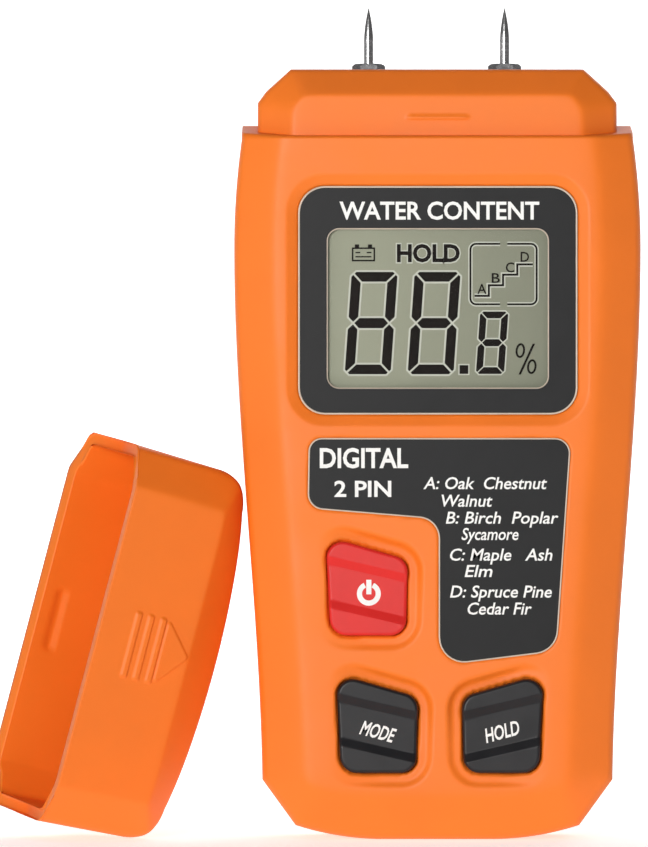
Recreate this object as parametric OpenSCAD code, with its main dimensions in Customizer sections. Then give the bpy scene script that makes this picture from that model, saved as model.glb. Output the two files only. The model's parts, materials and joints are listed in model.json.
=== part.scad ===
// Pin-type moisture meter, standing on its foot, with its pin cap off and leaning beside it.
// Millimetres. +Z runs up to the electrode pins, the display faces -Y, +X is to the right
// of someone reading it. The origin is the centre of the foot.

/* [Case] */
// Widest half-width of the case
case_half_w = 33.7; // [31:0.1:42]
// Half-width of the case just above the lower corners
grip_half_w = 29.0; // [27.8:0.1:36]
// Height of the widest point
wide_z = 98; // [88:1:105]
// How much each side draws in from the widest point up to the ledge
top_draw = 1.65; // [0:0.05:3]
// Thickness of the case, front to back
case_d = 28; // [26.5:0.1:40]
// Wall of the case
wall = 2.0; // [1.6:0.1:2.4]
// Height of the ledge that the cap sits on, at mid-depth
ledge_z = 118.6; // [114:0.1:140]
// How far the ledge falls from mid-depth to the front and the back
ledge_drop = 2.4; // [0.5:0.1:4]
// Width of the sloping side facets, seen from the front
facet_w = 6.5; // [5:0.1:7.5]
// Depth of the sloping side facets
facet_d = 4.2; // [3:0.1:5]
// Height of the facet along the foot
foot_facet = 7.2; // [5:0.1:9]
// Half-width of the flat land that the meter stands on
foot_half_w = 9; // [6:0.5:12]
// Rise of the underside from the land to the lower corners
foot_rise = 2.3; // [0.5:0.1:3]

/* [Nose] */
// Height of the nose above the ledge
nose_h = 9.1; // [7:0.1:14]
// Step from the side of the case in to the nose
nose_step = 2.25; // [2.0:0.05:2.6]
// Width of the nose's side facets
nose_facet_w = 5.7; // [4:0.1:6.5]
// Height of the nose's top facet
nose_top_facet = 4.4; // [3:0.1:5]
// Width of the snap bump on the nose
bump_w = 10; // [6:0.5:14]
// How far the snap bump stands out
bump_out = 0.45; // [0.3:0.05:0.5]

/* [Cap] */
// Height of the cap above the ledge, at its middle
cap_h = 22.8; // [22:0.1:30]
// Drop of the cap's arched end from the middle to the ends
cap_arch = 4.6; // [2:0.1:6]
// Wall of the cap's sides
cap_wall = 1.95; // [1.6:0.05:2]
// Wall of the cap's closed end
cap_end_wall = 1.7; // [1.4:0.1:2.4]
// Corner radius of the cap's closed end
cap_corner_r = 6; // [3:0.5:8]
// How far the cap leans over from lying on its side
cap_lean = 14.7; // [10:0.1:20]
// How far the cap is turned about its long axis
cap_turn = 26.5; // [10:0.5:40]
// Gap between the leaning cap and the side of the case
cap_gap = 0.3; // [0.2:0.05:6]
// Centre of the cap's mouth, in front of the mid-plane
cap_y = -6; // [-14:0.5:0]

/* [Display] */
// Width of the black plate
bezel_w = 46.1; // [40:0.1:46.4]
// Height of the black plate
bezel_h = 37.7; // [34:0.1:39]
// Middle of the black plate above the foot
bezel_z = 89.25; // [88:0.1:92]
// Thickness of the black plate
bezel_t = 1.2; // [1:0.1:1.4]
// Corner radius of the black plate
bezel_r = 4.4; // [2:0.1:6]
// How far the plate is set in from the face
bezel_sink = 0.6; // [0.3:0.1:0.8]
// Width of the bevel around the plate
bevel_w = 1.8; // [1:0.1:2]
// Width of the window
window_w = 36.8; // [30:0.1:38]
// Height of the window
window_h = 26.6; // [22:0.1:27]
// Middle of the window above the foot
window_z = 87.9; // [87:0.1:89.5]
// Corner radius of the window
window_r = 2.1; // [1:0.1:3]
// Thickness of the clear window
window_t = 0.9; // [0.6:0.1:1]
// Thickness of the liquid crystal glass
lcd_t = 2.0; // [1.6:0.1:2.2]

/* [Legend plate] */
// Thickness of the legend plate
label_t = 0.3; // [0.2:0.05:0.5]
// Depth of the pocket that the legend plate lies in
label_sink = 0.25; // [0.1:0.05:0.4]

/* [Keys] */
// Width of a key
key_w = 13.5; // [11:0.1:14]
// Height of a key at its tall side
key_h = 15.6; // [13:0.1:16.5]
// Slope of a key's top edge, in degrees
key_slope = 16; // [8:1:20]
// Corner radius of a key
key_r = 2.7; // [1.5:0.1:3.5]
// How far a key stands out of the face
key_proud = 0.5; // [0.2:0.1:1]
// Gap between a key and its hole
key_gap = 0.25; // [0.15:0.05:0.4]
// How far a key presses in
key_travel = 0.35; // [0.2:0.05:0.4]
// Power key, across
power_x = -11.7; // [-12.5:0.1:-10]
// Power key, above the foot
power_z = 41.7; // [40:0.1:43]
// Mode key, across
mode_x = -10.0; // [-12:0.1:-9.5]
// Hold key, across
hold_x = 10.7; // [9.5:0.1:12]
// Mode and hold keys, above the foot
low_key_z = 19.0; // [18.6:0.1:20.5]

/* [Electrodes] */
// Distance from the centre line to each pin
pin_x = 11.35; // [9:0.05:14]
// Diameter of a pin
pin_d = 1.6; // [1.2:0.1:2.4]
// Diameter of a pin's threaded foot
thread_d = 1.1; // [0.8:0.1:1.2]
// Height of a pin above the top of the nose
pin_h = 10.7; // [8:0.1:10.7]
// Length of the straight shank above the nut
shank_h = 4.0; // [3.2:0.1:5]
// Nut across its flats
nut_af = 4.8; // [4:0.1:6]
// Height of a nut
nut_h = 1.2; // [1:0.1:2]

/* [Battery] */
// Width of the battery
battery_w = 26.2; // [25.5:0.1:26.5]
// Thickness of the battery
battery_t = 17.0; // [15.7:0.1:17.5]
// Length of the battery's case
battery_l = 46.4; // [46:0.1:46.4]
// Gap around the battery
battery_gap = 0.6; // [0.3:0.05:0.9]

/* [Battery door] */
// Width of the door
door_w = 31; // [30:0.1:32]
// Top of the door above the foot
door_top = 65; // [63:0.1:66]
// Height of the door's pivot above the foot
pivot_z = 12.5; // [12.5:0.1:13.5]
// Thickness of the door
door_t = 1.8; // [1.5:0.1:2]
// Gap around the door
door_gap = 0.3; // [0.2:0.05:0.5]
// Diameter of the door's pivot pins
pivot_d = 1.6; // [1.4:0.1:1.8]
// Running clearance of the pivot pins, on the radius
pivot_fit = 0.05; // [0.03:0.01:0.08]

/* [Board and screws] */
// Thickness of the circuit board
board_t = 1.6; // [1.2:0.1:1.6]
// Thickness of a key switch's body
switch_t = 1.7; // [1.4:0.1:1.7]
// Diameter of a case screw
screw_d = 2.6; // [2.2:0.1:3]
// Diameter of a case screw's head
screw_head_d = 4.6; // [4:0.1:5]
// Diameter of a lead, over its insulation
lead_d = 1.3; // [1:0.1:1.5]

/* [Hidden] */

eps = 0.01;
half_d = case_d / 2;
side_d = half_d - facet_d;
face_in = half_d - wall;
nose_top = ledge_z + nose_h;
nose_half_d = half_d - nose_step;
nose_side_d = nose_half_d - 4.0;
lower_corner_z = 9.9;

// depths of the parts behind the front face, each from the one in front of it
bezel_front = -half_d + bezel_sink;
bezel_back = bezel_front + bezel_t;
seat_t = 1.1;
seat_back = -face_in + seat_t;
lcd_front = bezel_back + 0.05;
lcd_back = lcd_front + lcd_t;
board_front = -half_d + 5.4;
board_back = board_front + board_t;
flange_front = -face_in + 0.1;
flange_t = 0.7;
flange_back = flange_front + flange_t;
switch_front = board_front - switch_t;
key_base = switch_front - 0.35;

// battery bay
bay_floor_t = 0.8;
bay_front = board_back + 0.35;
bay_half_w = battery_w / 2 + battery_gap;
bay_wall = 1.2;
bay_bottom = pivot_z + 2.4;
bay_top = battery_top() + 3.6;
battery_front = bay_front + bay_floor_t + 0.15;
function battery_bottom() = bay_bottom + 0.2;
function battery_top() = battery_bottom() + battery_l;
battery_y = battery_front + battery_t / 2;
pivot_y = half_d - door_t / 2 - 0.1;

// posts and screws
post_r = 2.5;
low_post = [door_w / 2 + 3.9, 19];
high_post = [21.5, ledge_z - 7.2];
boss_r = 1.8;
boss_x = bezel_w / 2 + 1.9;
boss_z = [bezel_z - 17.5, bezel_z + 14.2];
board_narrow = low_post[0] - post_r - 0.5;
board_wide = boss_x + 1.6;
board_low = 10.4;
board_step = bezel_z - 22.6;
board_top = bezel_z + 17;

function clamp01(u) = min(1, max(0, u));
function ease(u) = let (v = clamp01(u)) v * v * (3 - 2 * v);
function mix(a, b, t) = a + (b - a) * t;

// half-width of the case at a height
function side_x(z) =
    z < wide_z
        ? mix(grip_half_w, case_half_w, ease((z - 5) / (wide_z - 5)))
        : case_half_w - top_draw * pow((z - wide_z) / (ledge_z - wide_z), 2);
top_half_w = side_x(ledge_z);

// height of the ledge at a depth
function ledge_at(y) = ledge_z - ledge_drop * abs(y) / half_d;

// a line in the front view as [nx, nz, c], where nx * x + nz * z = c and n points outward
function line_of(a, b) =
    let (d = (b - a) / norm(b - a)) [d[1], -d[0], d[1] * a[0] - d[0] * a[1]];
function cross_of(p, q) =
    let (det = p[0] * q[1] - p[1] * q[0])
    [(p[2] * q[1] - p[1] * q[2]) / det, (p[0] * q[2] - p[2] * q[0]) / det];

// corners of a chain of edges, each drawn in by its own distance, between two end lines.
// The edges stay parallel, so every facet between two such chains is flat
function drawn_in(chain, dist, first, last) =
    let (
        n = len(chain) - 1,
        e = [for (i = [0:n - 1]) let (l = line_of(chain[i], chain[i + 1]))
            [l[0], l[1], l[2] - dist[i]]]
    )
    concat(
        [cross_of(first, e[0])],
        [for (i = [1:n - 1]) cross_of(e[i - 1], e[i])],
        [cross_of(e[n - 1], last)]
    );
centre_line = [1, 0, 0];
function level(z) = [0, 1, z];

// right half of the case's outline, from the foot up past the ledge
side_n = 8;
corner_x = 23.5 * grip_half_w / 29;
case_chain = concat(
    [[0, 0], [foot_half_w, 0], [mix(foot_half_w, corner_x, 0.55), foot_rise * 0.3],
        [corner_x, foot_rise]],
    [for (i = [0:side_n]) let (z = mix(lower_corner_z, ledge_z, i / side_n)) [side_x(z), z]]
);
// e is 0 on the sides and 1 on the front and back faces, g draws the whole outline in
function case_half(e, g, top) = drawn_in(
    case_chain,
    [for (i = [0:len(case_chain) - 2])
        g + e * (i < 3 ? foot_facet : i == 3 ? corner_facet : facet_w)],
    centre_line, level(top));
corner_facet = 5.8;

// right half of the nose's outline
nose_w = top_half_w - nose_step;
nose_chain = [[nose_w, ledge_z - 20], [nose_w, nose_top - 5.6], [nose_w - 1.4, nose_top - 3.7],
    [nose_w - 5.5, nose_top], [0, nose_top]];
nose_facets = [nose_facet_w, nose_facet_w * 0.9, 5.0, nose_top_facet];
function nose_half(e, g, low) = concat([[0, low]],
    drawn_in(nose_chain, [for (d = nose_facets) g + e * d],
        level(low), centre_line));

// outline of the cap in its closed place, measured from the ledge: drawn in by a at the sides
// and by b at the arched end, with corners of radius r
cap_side_lean = 0.03;
function cap_arch_at(x) = cap_h - cap_arch * pow(x / top_half_w, 2);
function cap_outline(a, b, r) =
    let (
        low = -ledge_drop - 3,
        kx = top_half_w - cap_side_lean * (cap_h - cap_arch) - a - r,
        kz = cap_arch_at(kx) - b - r
    )
    both_sides(concat(
        [[0, low], [top_half_w - cap_side_lean * low - a, low]],
        [for (i = [0:5]) [kx + r * cos(18 * i), kz + r * sin(18 * i)]],
        [for (i = [1:5]) let (x = kx * (1 - i / 5)) [x, cap_arch_at(x) - b]]));
cap_end_facet = 5.2;

// a point of the closed cap, turned about the cap's long axis and laid over onto its side
function turned(p) =
    let (
        a = -cap_turn,
        b = 90 + cap_lean,
        y = p[1] * cos(a) - p[2] * sin(a),
        z = p[1] * sin(a) + p[2] * cos(a)
    )
    [p[0] * cos(b) + z * sin(b), y, z * cos(b) - p[0] * sin(b)];
cap_corners = [
    for (s = [-1, 1]) for (k = [0, 1])
    for (p = k == 0 ? cap_outline(0, 0, cap_corner_r)
        : cap_outline(facet_w, cap_end_facet, cap_corner_r - 2))
    turned([p[0], s * (k == 0 ? side_d : half_d), max(p[1], -ledge_drop)])];
// the leaning cap stands a hair above the floor, and just clear of the side of the case
cap_z = 0.1 - min([for (c = cap_corners) c[2]]);
cap_x = -cap_gap - max([for (c = cap_corners) c[0] + side_x(c[2] + cap_z)]);

// whole outline from its right half, without repeating a point on the centre line
function both_sides(h) = concat(
    h,
    [for (i = [len(h) - 1:-1:0]) if (h[i][0] > 0.001) [-h[i][0], h[i][1]]]
);
// closed skin over rings of outline points, the first ring at the back
module skin(rings) {
    n = len(rings[0]);
    m = len(rings);
    polyhedron(
        points = [for (r = rings) for (p = r) p],
        faces = concat(
            [[for (i = [0:n - 1]) i]],
            [for (j = [0:m - 2]) for (i = [0:n - 1]) for (k = [0, 1])
                k == 0
                    ? [j * n + i, (j + 1) * n + i, (j + 1) * n + (i + 1) % n]
                    : [j * n + i, (j + 1) * n + (i + 1) % n, j * n + (i + 1) % n]],
            [[for (i = [n - 1:-1:0]) (m - 1) * n + i]]
        )
    );
}
function ring_at(h, y) = [for (p = both_sides(h)) [p[0], y, p[1]]];

// rings of one half of the depth as [depth, e], from the mid-plane outward; way is -1 in front
module half_skin(way, depths, kind, g) {
    rings = [for (r = depths) let (y = way * r[0]) ring_at(
        kind == "case" ? case_half(r[1], g, g > 0 ? ledge_z - ledge_drop - wall : ledge_at(y))
            : nose_half(r[1], g, ledge_z - (g > 0 ? 9 : 8)), y)];
    skin(way < 0 ? rings : [for (i = [len(rings) - 1:-1:0]) rings[i]]);
}
module case_shell(way) {
    difference() {
        union() {
            half_skin(way, [[0, 0], [side_d, 0], [half_d, 1]], "case", 0);
            half_skin(way, [[0, 0], [nose_side_d, 0], [nose_half_d, 1]], "nose", 0);
        }
        half_skin(way, [[-1, 0], [side_d - 0.3, 0], [face_in, 1]], "case", wall);
        half_skin(way, [[-1, 0], [nose_side_d - 0.3, 0], [nose_half_d - wall, 1]], "nose", wall);
    }
}

// polygon with a radius at each corner; each point is [x, z, r]
function unit(v) = v / norm(v);
function rounded(pts, n = 6) = [
    for (i = [0:len(pts) - 1])
    let (
        p = [pts[i][0], pts[i][1]],
        a = pts[(i + len(pts) - 1) % len(pts)],
        b = pts[(i + 1) % len(pts)],
        u = unit([a[0], a[1]] - p),
        v = unit([b[0], b[1]] - p),
        half = acos(u * v) / 2,
        r = pts[i][2],
        c = p + unit(u + v) * r / sin(half),
        s = p + u * r / tan(half) - c,
        f = p + v * r / tan(half) - c,
        turn = acos(min(1, max(-1, s * f / r / r))),
        way = s[0] * f[1] - s[1] * f[0] > 0 ? 1 : -1
    )
    for (k = [0:n])
    let (w = way * turn * k / n)
    c + [s[0] * cos(w) - s[1] * sin(w), s[0] * sin(w) + s[1] * cos(w)]
];
function box_pts(w, h, r, z) = [
    [-w / 2, z - h / 2, r], [w / 2, z - h / 2, r], [w / 2, z + h / 2, r], [-w / 2, z + h / 2, r]];

// flat plate of an [x, z] outline between two depths
module plate(pts, y0, y1) {
    translate([0, y1, 0]) rotate([90, 0, 0]) linear_extrude(y1 - y0) polygon(pts);
}
module box_between(a, b) {
    translate(a) cube(b - a);
}
module bore_y(x, z, r, y0, y1) {
    translate([x, y1, z]) rotate([90, 0, 0]) cylinder(r = r, h = y1 - y0, $fn = 40);
}
module rod(a, b, r) {
    v = b - a;
    translate(a)
        rotate([0, acos(v[2] / norm(v)), atan2(v[1], v[0])])
        cylinder(r = r, h = norm(v), $fn = 16);
}
module wire(pts, r) {
    for (i = [0:len(pts) - 2]) rod(pts[i], pts[i + 1], r);
    for (i = [1:len(pts) - 2]) translate(pts[i]) sphere(r = r * 1.3, $fn = 16);
}

// outline of a key about its own middle; g grows it all round, side is 1 or -1 for its mirror
function key_pts(g, side) =
    let (
        w = key_w / 2,
        h = key_h / 2,
        k = key_w * tan(key_slope),
        q = [
            [-w + 0.7 - g, -h - g, key_r + 0.2 + g], [w - 0.3 + g, -h - g, key_r + g],
            [w + g, h + 0.8 - k + g, key_r + g], [-w - 0.1 - g, h + 0.8 + g, key_r + g]]
    )
    [for (p = q) [side * p[0], p[1], p[2]]];
function moved(pts, x, z) = [for (p = pts) [p[0] + x, p[1] + z]];
key_spots = [[power_x, power_z, 1], [mode_x, low_key_z, 1], [hold_x, low_key_z, -1]];

// legend plate's outline: a wide head beside the power key and a tail beside the wood names
function legend_pts(g) =
    let (top = bezel_z - bezel_h / 2 - 3.9)
    [
        [-21.3 - g, top + g, 2.2 + g], [22 + g, top + g, 2.5 + g],
        [19.6 + g, top - 35.2 - g, 4 + g], [0.15 - g, top - 37.6 - g, 4.2 + g],
        [0.15 - g, top - 13.4 - g, 3.4 - g], [-21.5 - g, top - 11.6 - g, 2.6 + g]];

// funnel from the face down to the display plate
module bezel_funnel() {
    outer = rounded(
        box_pts(bezel_w + 2 * bevel_w, bezel_h + 2 * bevel_w, bezel_r + bevel_w, bezel_z), 8);
    inner = rounded(box_pts(bezel_w + 0.2, bezel_h + 0.2, bezel_r + 0.1, bezel_z), 8);
    hull() {
        plate(outer, -half_d - 0.02, -half_d);
        plate(inner, bezel_front, bezel_front + 0.02);
    }
}

// hollow beside a key, whose floor runs out towards the outer side
module key_hollow(spot) {
    pts = rounded([for (p = key_pts(2.2, spot[2])) [p[0] + spot[2] * 0.2, p[1] + 0.1, p[2]]]);
    translate([spot[0], -half_d + 0.32, spot[1]])
        rotate([0, 0, spot[2] * -4.2])
        translate([0, -3, 0]) hull() plate(pts, 0, 3);
}

// half of a collar that holds a pin socket
module collar(way) {
    for (s = [-1, 1])
        box_between([s * pin_x - 4.2, way < 0 ? -4.2 : 0, nose_top - 8.8],
            [s * pin_x + 4.2, way < 0 ? 0 : 4.2, nose_top - 0.6]);
}

module front_housing() {
    color("darkorange") {
        difference() {
            union() {
                case_shell(-1);
                collar(-1);
                // thicker wall behind the display plate
                box_between([-26.5, -face_in - 0.6, bezel_z - 22.3], [26.5, seat_back, bezel_z + 21.7]);
                for (s = [-1, 1]) {
                    bore_y(s * low_post[0], low_post[1], post_r, -face_in - 0.8, 0);
                    bore_y(s * high_post[0], high_post[1], post_r, -face_in - 0.8, 0);
                    for (z = boss_z) bore_y(s * boss_x, z, boss_r, -face_in - 0.8, board_front);
                }
            }
            bezel_funnel();
            plate(rounded(box_pts(bezel_w + 0.2, bezel_h + 0.2, bezel_r + 0.1, bezel_z), 8),
                -half_d - 1, bezel_back);
            hull() plate(rounded(box_pts(41.2, 31.2, 0.6, window_z), 2), -half_d - 1, 0);
            plate(rounded(legend_pts(0.1)), -half_d - 1, -half_d + label_sink);
            for (k = key_spots) {
                key_hollow(k);
                hull() plate(moved(rounded(key_pts(key_gap, k[2])), k[0], k[1]),
                    -half_d - 1, -face_in + 1);
            }
            for (s = [-1, 1]) {
                bore_y(s * low_post[0], low_post[1], screw_d / 2 - 0.1, -9, 1);
                bore_y(s * high_post[0], high_post[1], screw_d / 2 - 0.1, -8, 1);
                for (z = boss_z) bore_y(s * boss_x, z, 0.85, -half_d + 2.5, 1);
                translate([s * pin_x, 0, nose_top - 10]) cylinder(r = 2.1, h = 20, $fn = 40);
            }
        }
        snap_bump(-1);
    }
}

// wedge on the nose that the cap clips over, on the side that way gives
module snap_bump(way) {
    y = way * nose_half_d;
    translate([-bump_w / 2, 0, ledge_z + 0.7])
        rotate([90, 0, 90])
        linear_extrude(bump_w)
        polygon([[y - way * 0.3, 0], [y + way * bump_out, 0], [y + way * bump_out, 0.25],
            [y, 0.95], [y - way * 0.3, 0.95]]);
}

module back_housing() {
    color("darkorange") {
        difference() {
            union() {
                case_shell(1);
                collar(1);
                for (s = [-1, 1]) for (q = [low_post, high_post]) hull() {
                    bore_y(s * q[0], q[1], post_r - 0.15, 0, 1);
                    bore_y(s * q[0], q[1], post_r, face_in - 2, face_in + 0.8);
                }
                // walls around the bay, with ears that carry the door's pivot pins
                box_between([-bay_half_w - bay_wall, bay_front, bay_bottom - bay_wall],
                    [bay_half_w + bay_wall, face_in + 0.8, bay_top + bay_wall]);
                box_between([-door_w / 2 - 3, pivot_y - 2.2, pivot_z - 2.6],
                    [door_w / 2 + 3, face_in + 0.8, pivot_z + 2.6]);
            }
            // mouth and bay
            box_between([-door_w / 2 - door_gap, face_in - 0.3, pivot_z - 1.6],
                [door_w / 2 + door_gap, half_d + 1, door_top + door_gap]);
            box_between([-bay_half_w, bay_front + bay_floor_t, bay_bottom],
                [bay_half_w, half_d + 1, bay_top]);
            // way out for the two battery leads
            box_between([-6, bay_front + bay_floor_t + 0.5, bay_top - 1], [6, -0.8, bay_top + 2]);
            translate([-door_w / 2 - 2.2, pivot_y, pivot_z])
                rotate([0, 90, 0]) cylinder(d = pivot_d + 2 * pivot_fit, h = door_w + 4.4, $fn = 40);
            // catch for the door's tongue
            box_between([-5.2, face_in - 2.2, bay_top - 0.4], [5.2, face_in - 0.9, bay_top + 3]);
            for (s = [-1, 1]) {
                for (q = [low_post, high_post]) {
                    bore_y(s * q[0], q[1], screw_d / 2 + 0.1, -1, half_d);
                    // head recess, a little wider at its mouth
                    hull() {
                        bore_y(s * q[0], q[1], screw_head_d / 2 + 0.15, half_d - 2.6, half_d - 0.5);
                        bore_y(s * q[0], q[1], screw_head_d / 2 + 0.35, half_d, half_d + 1);
                    }
                }
                translate([s * pin_x, 0, nose_top - 10]) cylinder(r = 2.1, h = 20, $fn = 40);
            }
        }
        snap_bump(1);
    }
}

module battery_door() {
    color("darkorange") {
        box_between([-door_w / 2, half_d - door_t, pivot_z + 0.4], [door_w / 2, half_d, door_top]);
        translate([-door_w / 2, pivot_y, pivot_z])
            rotate([0, 90, 0]) cylinder(r = half_d - pivot_y, h = door_w, $fn = 40);
        translate([-door_w / 2 - 1.9, pivot_y, pivot_z])
            rotate([0, 90, 0]) cylinder(d = pivot_d, h = door_w + 3.8, $fn = 40);
        // tongue that clips behind the top of the mouth
        box_between([-4.6, face_in - 1.9, bay_top - 2.2], [4.6, half_d - 0.5, bay_top - 0.9]);
        box_between([-4.6, face_in - 1.9, bay_top - 2.2], [4.6, face_in - 1.2, bay_top - 0.3]);
    }
}

module display_bezel() {
    color([0.2, 0.2, 0.21])
    difference() {
        plate(rounded(box_pts(bezel_w, bezel_h, bezel_r, bezel_z), 8), bezel_front, bezel_back);
        plate(rounded(box_pts(window_w, window_h, window_r, window_z), 8),
            bezel_front - 1, bezel_back + 1);
    }
}
module display_window() {
    color([0.9, 0.95, 0.95, 0.4])
    plate(rounded(box_pts(window_w - 0.1, window_h - 0.1, window_r - 0.05, window_z), 8),
        bezel_back - window_t, bezel_back);
}
module lcd_glass() {
    color([0.6, 0.63, 0.52])
    box_between([-20, lcd_front, window_z - 15], [20, lcd_back, window_z + 15]);
}
module lcd_holder() {
    color("whitesmoke")
    difference() {
        box_between([-22, seat_back, window_z - 17], [22, board_front, window_z + 17]);
        box_between([-20.15, seat_back - 1, window_z - 15.15],
            [20.15, lcd_back, window_z + 15.15]);
        box_between([-19, seat_back - 1, window_z - 14.5], [19, board_front + 1, window_z + 14.5]);
    }
}
module zebra_strips() {
    color("dimgray")
    for (s = [-1, 1])
        box_between([-17, lcd_back, window_z + s * 13 - 1], [17, board_front, window_z + s * 13 + 1]);
}
module main_board() {
    color("seagreen")
    difference() {
        union() {
            box_between([-board_narrow, board_front, board_low],
                [board_narrow, board_back, board_step + 1]);
            box_between([-board_wide, board_front, board_step],
                [board_wide, board_back, board_top]);
        }
        for (s = [-1, 1]) for (z = boss_z)
            bore_y(s * boss_x, z, 1.1, board_front - 1, board_back + 1);
    }
}
module controller_chip() {
    color([0.1, 0.1, 0.1])
    box_between([-6, board_back, bezel_z - 6], [6, board_back + 1.5, bezel_z + 6]);
}
module board_passives() {
    color("tan")
    for (i = [0:4]) for (s = [-1, 1])
        box_between([s * 13 - 1, board_back, bezel_z - 12 + 5 * i - 0.6],
            [s * 13 + 1, board_back + 0.8, bezel_z - 12 + 5 * i + 0.6]);
}
module legend_plate() {
    color([0.2, 0.2, 0.21])
    plate(rounded(legend_pts(0)), -half_d + label_sink - label_t, -half_d + label_sink);
}

// key cap with its two slanted ramps and a flange that keeps it in the case
module key_cap(spot) {
    side = spot[2];
    front = -half_d - key_proud;
    difference() {
        union() {
            plate(moved(rounded(key_pts(0, side), 4), spot[0], spot[1]), front, flange_front + 0.3);
            // flange, cut back around the low posts
            difference() {
                plate(moved(rounded(key_pts(0.8, side), 4), spot[0], spot[1]),
                    flange_front, flange_back);
                for (s = [-1, 1])
                    bore_y(s * low_post[0], low_post[1], post_r + 0.35, flange_front - 1, 0);
            }
            bore_y(spot[0], spot[1], 2.2, flange_front + 0.2, key_base);
        }
        // sunk middle band between two ramps
        translate([spot[0], 0, spot[1] - 0.4])
            rotate([0, side * 13, 0])
            rotate([90, 0, 90])
            linear_extrude(key_w * 1.5, center = true)
            polygon([[front - 1, -6.4], [front + 0.5, -2.8], [front + 0.5, 2.8], [front - 1, 6.4]]);
    }
}
module power_key() {
    color("red") key_cap(key_spots[0]);
}
module mode_key() {
    color([0.2, 0.2, 0.2]) key_cap(key_spots[1]);
}
module hold_key() {
    color([0.2, 0.2, 0.2]) key_cap(key_spots[2]);
}
module plunger(spot) {
    bore_y(spot[0], spot[1], 1.2, key_base, switch_front + 0.8);
}
module power_plunger() {
    color("ivory") plunger(key_spots[0]);
}
module mode_plunger() {
    color("ivory") plunger(key_spots[1]);
}
module hold_plunger() {
    color("ivory") plunger(key_spots[2]);
}
module key_switch(spot) {
    difference() {
        box_between([spot[0] - 2.6, switch_front, spot[1] - 2.6],
            [spot[0] + 2.6, board_front, spot[1] + 2.6]);
        bore_y(spot[0], spot[1], 1.25, switch_front - 1, switch_front + 0.8 + key_travel + 0.1);
    }
}
module power_switch() {
    color("silver") key_switch(key_spots[0]);
}
module mode_switch() {
    color("silver") key_switch(key_spots[1]);
}
module hold_switch() {
    color("silver") key_switch(key_spots[2]);
}

module battery() {
    color([0.15, 0.2, 0.3])
    translate([0, 0, battery_bottom()])
        linear_extrude(battery_l)
        translate([-battery_w / 2, battery_front])
        polygon(rounded([[0, 0, 2], [battery_w, 0, 2],
            [battery_w, battery_t, 2], [0, battery_t, 2]], 5));
}
module battery_terminals() {
    color("silver")
    for (s = [-1, 1])
        translate([s * 6.35, battery_y, battery_top()]) cylinder(d = s < 0 ? 5.6 : 7, h = 1.1, $fn = 32);
}
module battery_snap() {
    color([0.12, 0.12, 0.12])
    translate([0, battery_y, battery_top() + 1.1])
        linear_extrude(1.6)
        polygon(rounded([[-12.5, -6, 4], [12.5, -6, 4], [12.5, 6, 4], [-12.5, 6, 4]]));
}
module snap_lead(s) {
    wire([[s * 3, -2.4, battery_top() + 2.72], [s * 3, -2.4, bay_top + 3.9],
        [s * 3, board_back + 0.02, bay_top + 3.9]], lead_d / 2);
}
module snap_lead_red() {
    color("crimson") snap_lead(1);
}
module snap_lead_black() {
    color([0.1, 0.1, 0.1]) snap_lead(-1);
}

// electrode pin: threaded foot, straight shank, then a point whose radius falls along a curve
module electrode_pin(x) {
    z0 = nose_top - 6;
    zs = nose_top + nut_h + shank_h;
    zt = nose_top + pin_h;
    r = pin_d / 2;
    t = thread_d / 2;
    zn = nose_top + nut_h;
    translate([x, 0, 0])
        rotate_extrude($fn = 32)
        polygon(concat([[0, z0], [t, z0], [t, zn], [r, zn], [r, zs]],
            [for (i = [1:8]) let (u = i / 8) [r * (1 - pow(u, 1.6)) + 0.03 * u, mix(zs, zt, u)]],
            [[0, zt]]));
}
module electrode_pin_left() {
    color("lightgray") electrode_pin(-pin_x);
}
module electrode_pin_right() {
    color("lightgray") electrode_pin(pin_x);
}
module pin_nut(x) {
    translate([x, 0, nose_top])
        difference() {
            intersection() {
                cylinder(d = nut_af / cos(30), h = nut_h, $fn = 6);
                translate([0, 0, -0.6])
                    cylinder(r1 = nut_af / 2 + 1.75, r2 = nut_af / 2, h = nut_h + 0.6, $fn = 40);
            }
            translate([0, 0, -1]) cylinder(d = thread_d + 0.02, h = nut_h + 2, $fn = 32);
        }
}
module pin_nut_left() {
    color("silver") pin_nut(-pin_x);
}
module pin_nut_right() {
    color("silver") pin_nut(pin_x);
}
module pin_socket(x) {
    translate([x, 0, nose_top - 9])
        difference() {
            cylinder(r = 2.08, h = 9, $fn = 32);
            translate([0, 0, 2.8]) cylinder(d = thread_d + 0.02, h = 9, $fn = 32);
        }
}
module pin_socket_left() {
    color("goldenrod") pin_socket(-pin_x);
}
module pin_socket_right() {
    color("goldenrod") pin_socket(pin_x);
}
module solder_lug(x) {
    color("silver") {
        translate([x, 0, nose_top - 9.5]) cylinder(r = 2.9, h = 0.5, $fn = 32);
        box_between([x - 0.9, -5.2, nose_top - 9.5], [x + 0.9, 0, nose_top - 9]);
    }
}
module solder_lug_left() {
    solder_lug(-pin_x);
}
module solder_lug_right() {
    solder_lug(pin_x);
}
module pin_lead(x) {
    wire([[x, -4.4, nose_top - 9.52], [x, -4.4, board_top - 4.2],
        [x, board_back + 0.02, board_top - 4.2]], lead_d / 2);
}
module pin_lead_left() {
    color("crimson") pin_lead(-pin_x);
}
module pin_lead_right() {
    color("crimson") pin_lead(pin_x);
}

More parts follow.
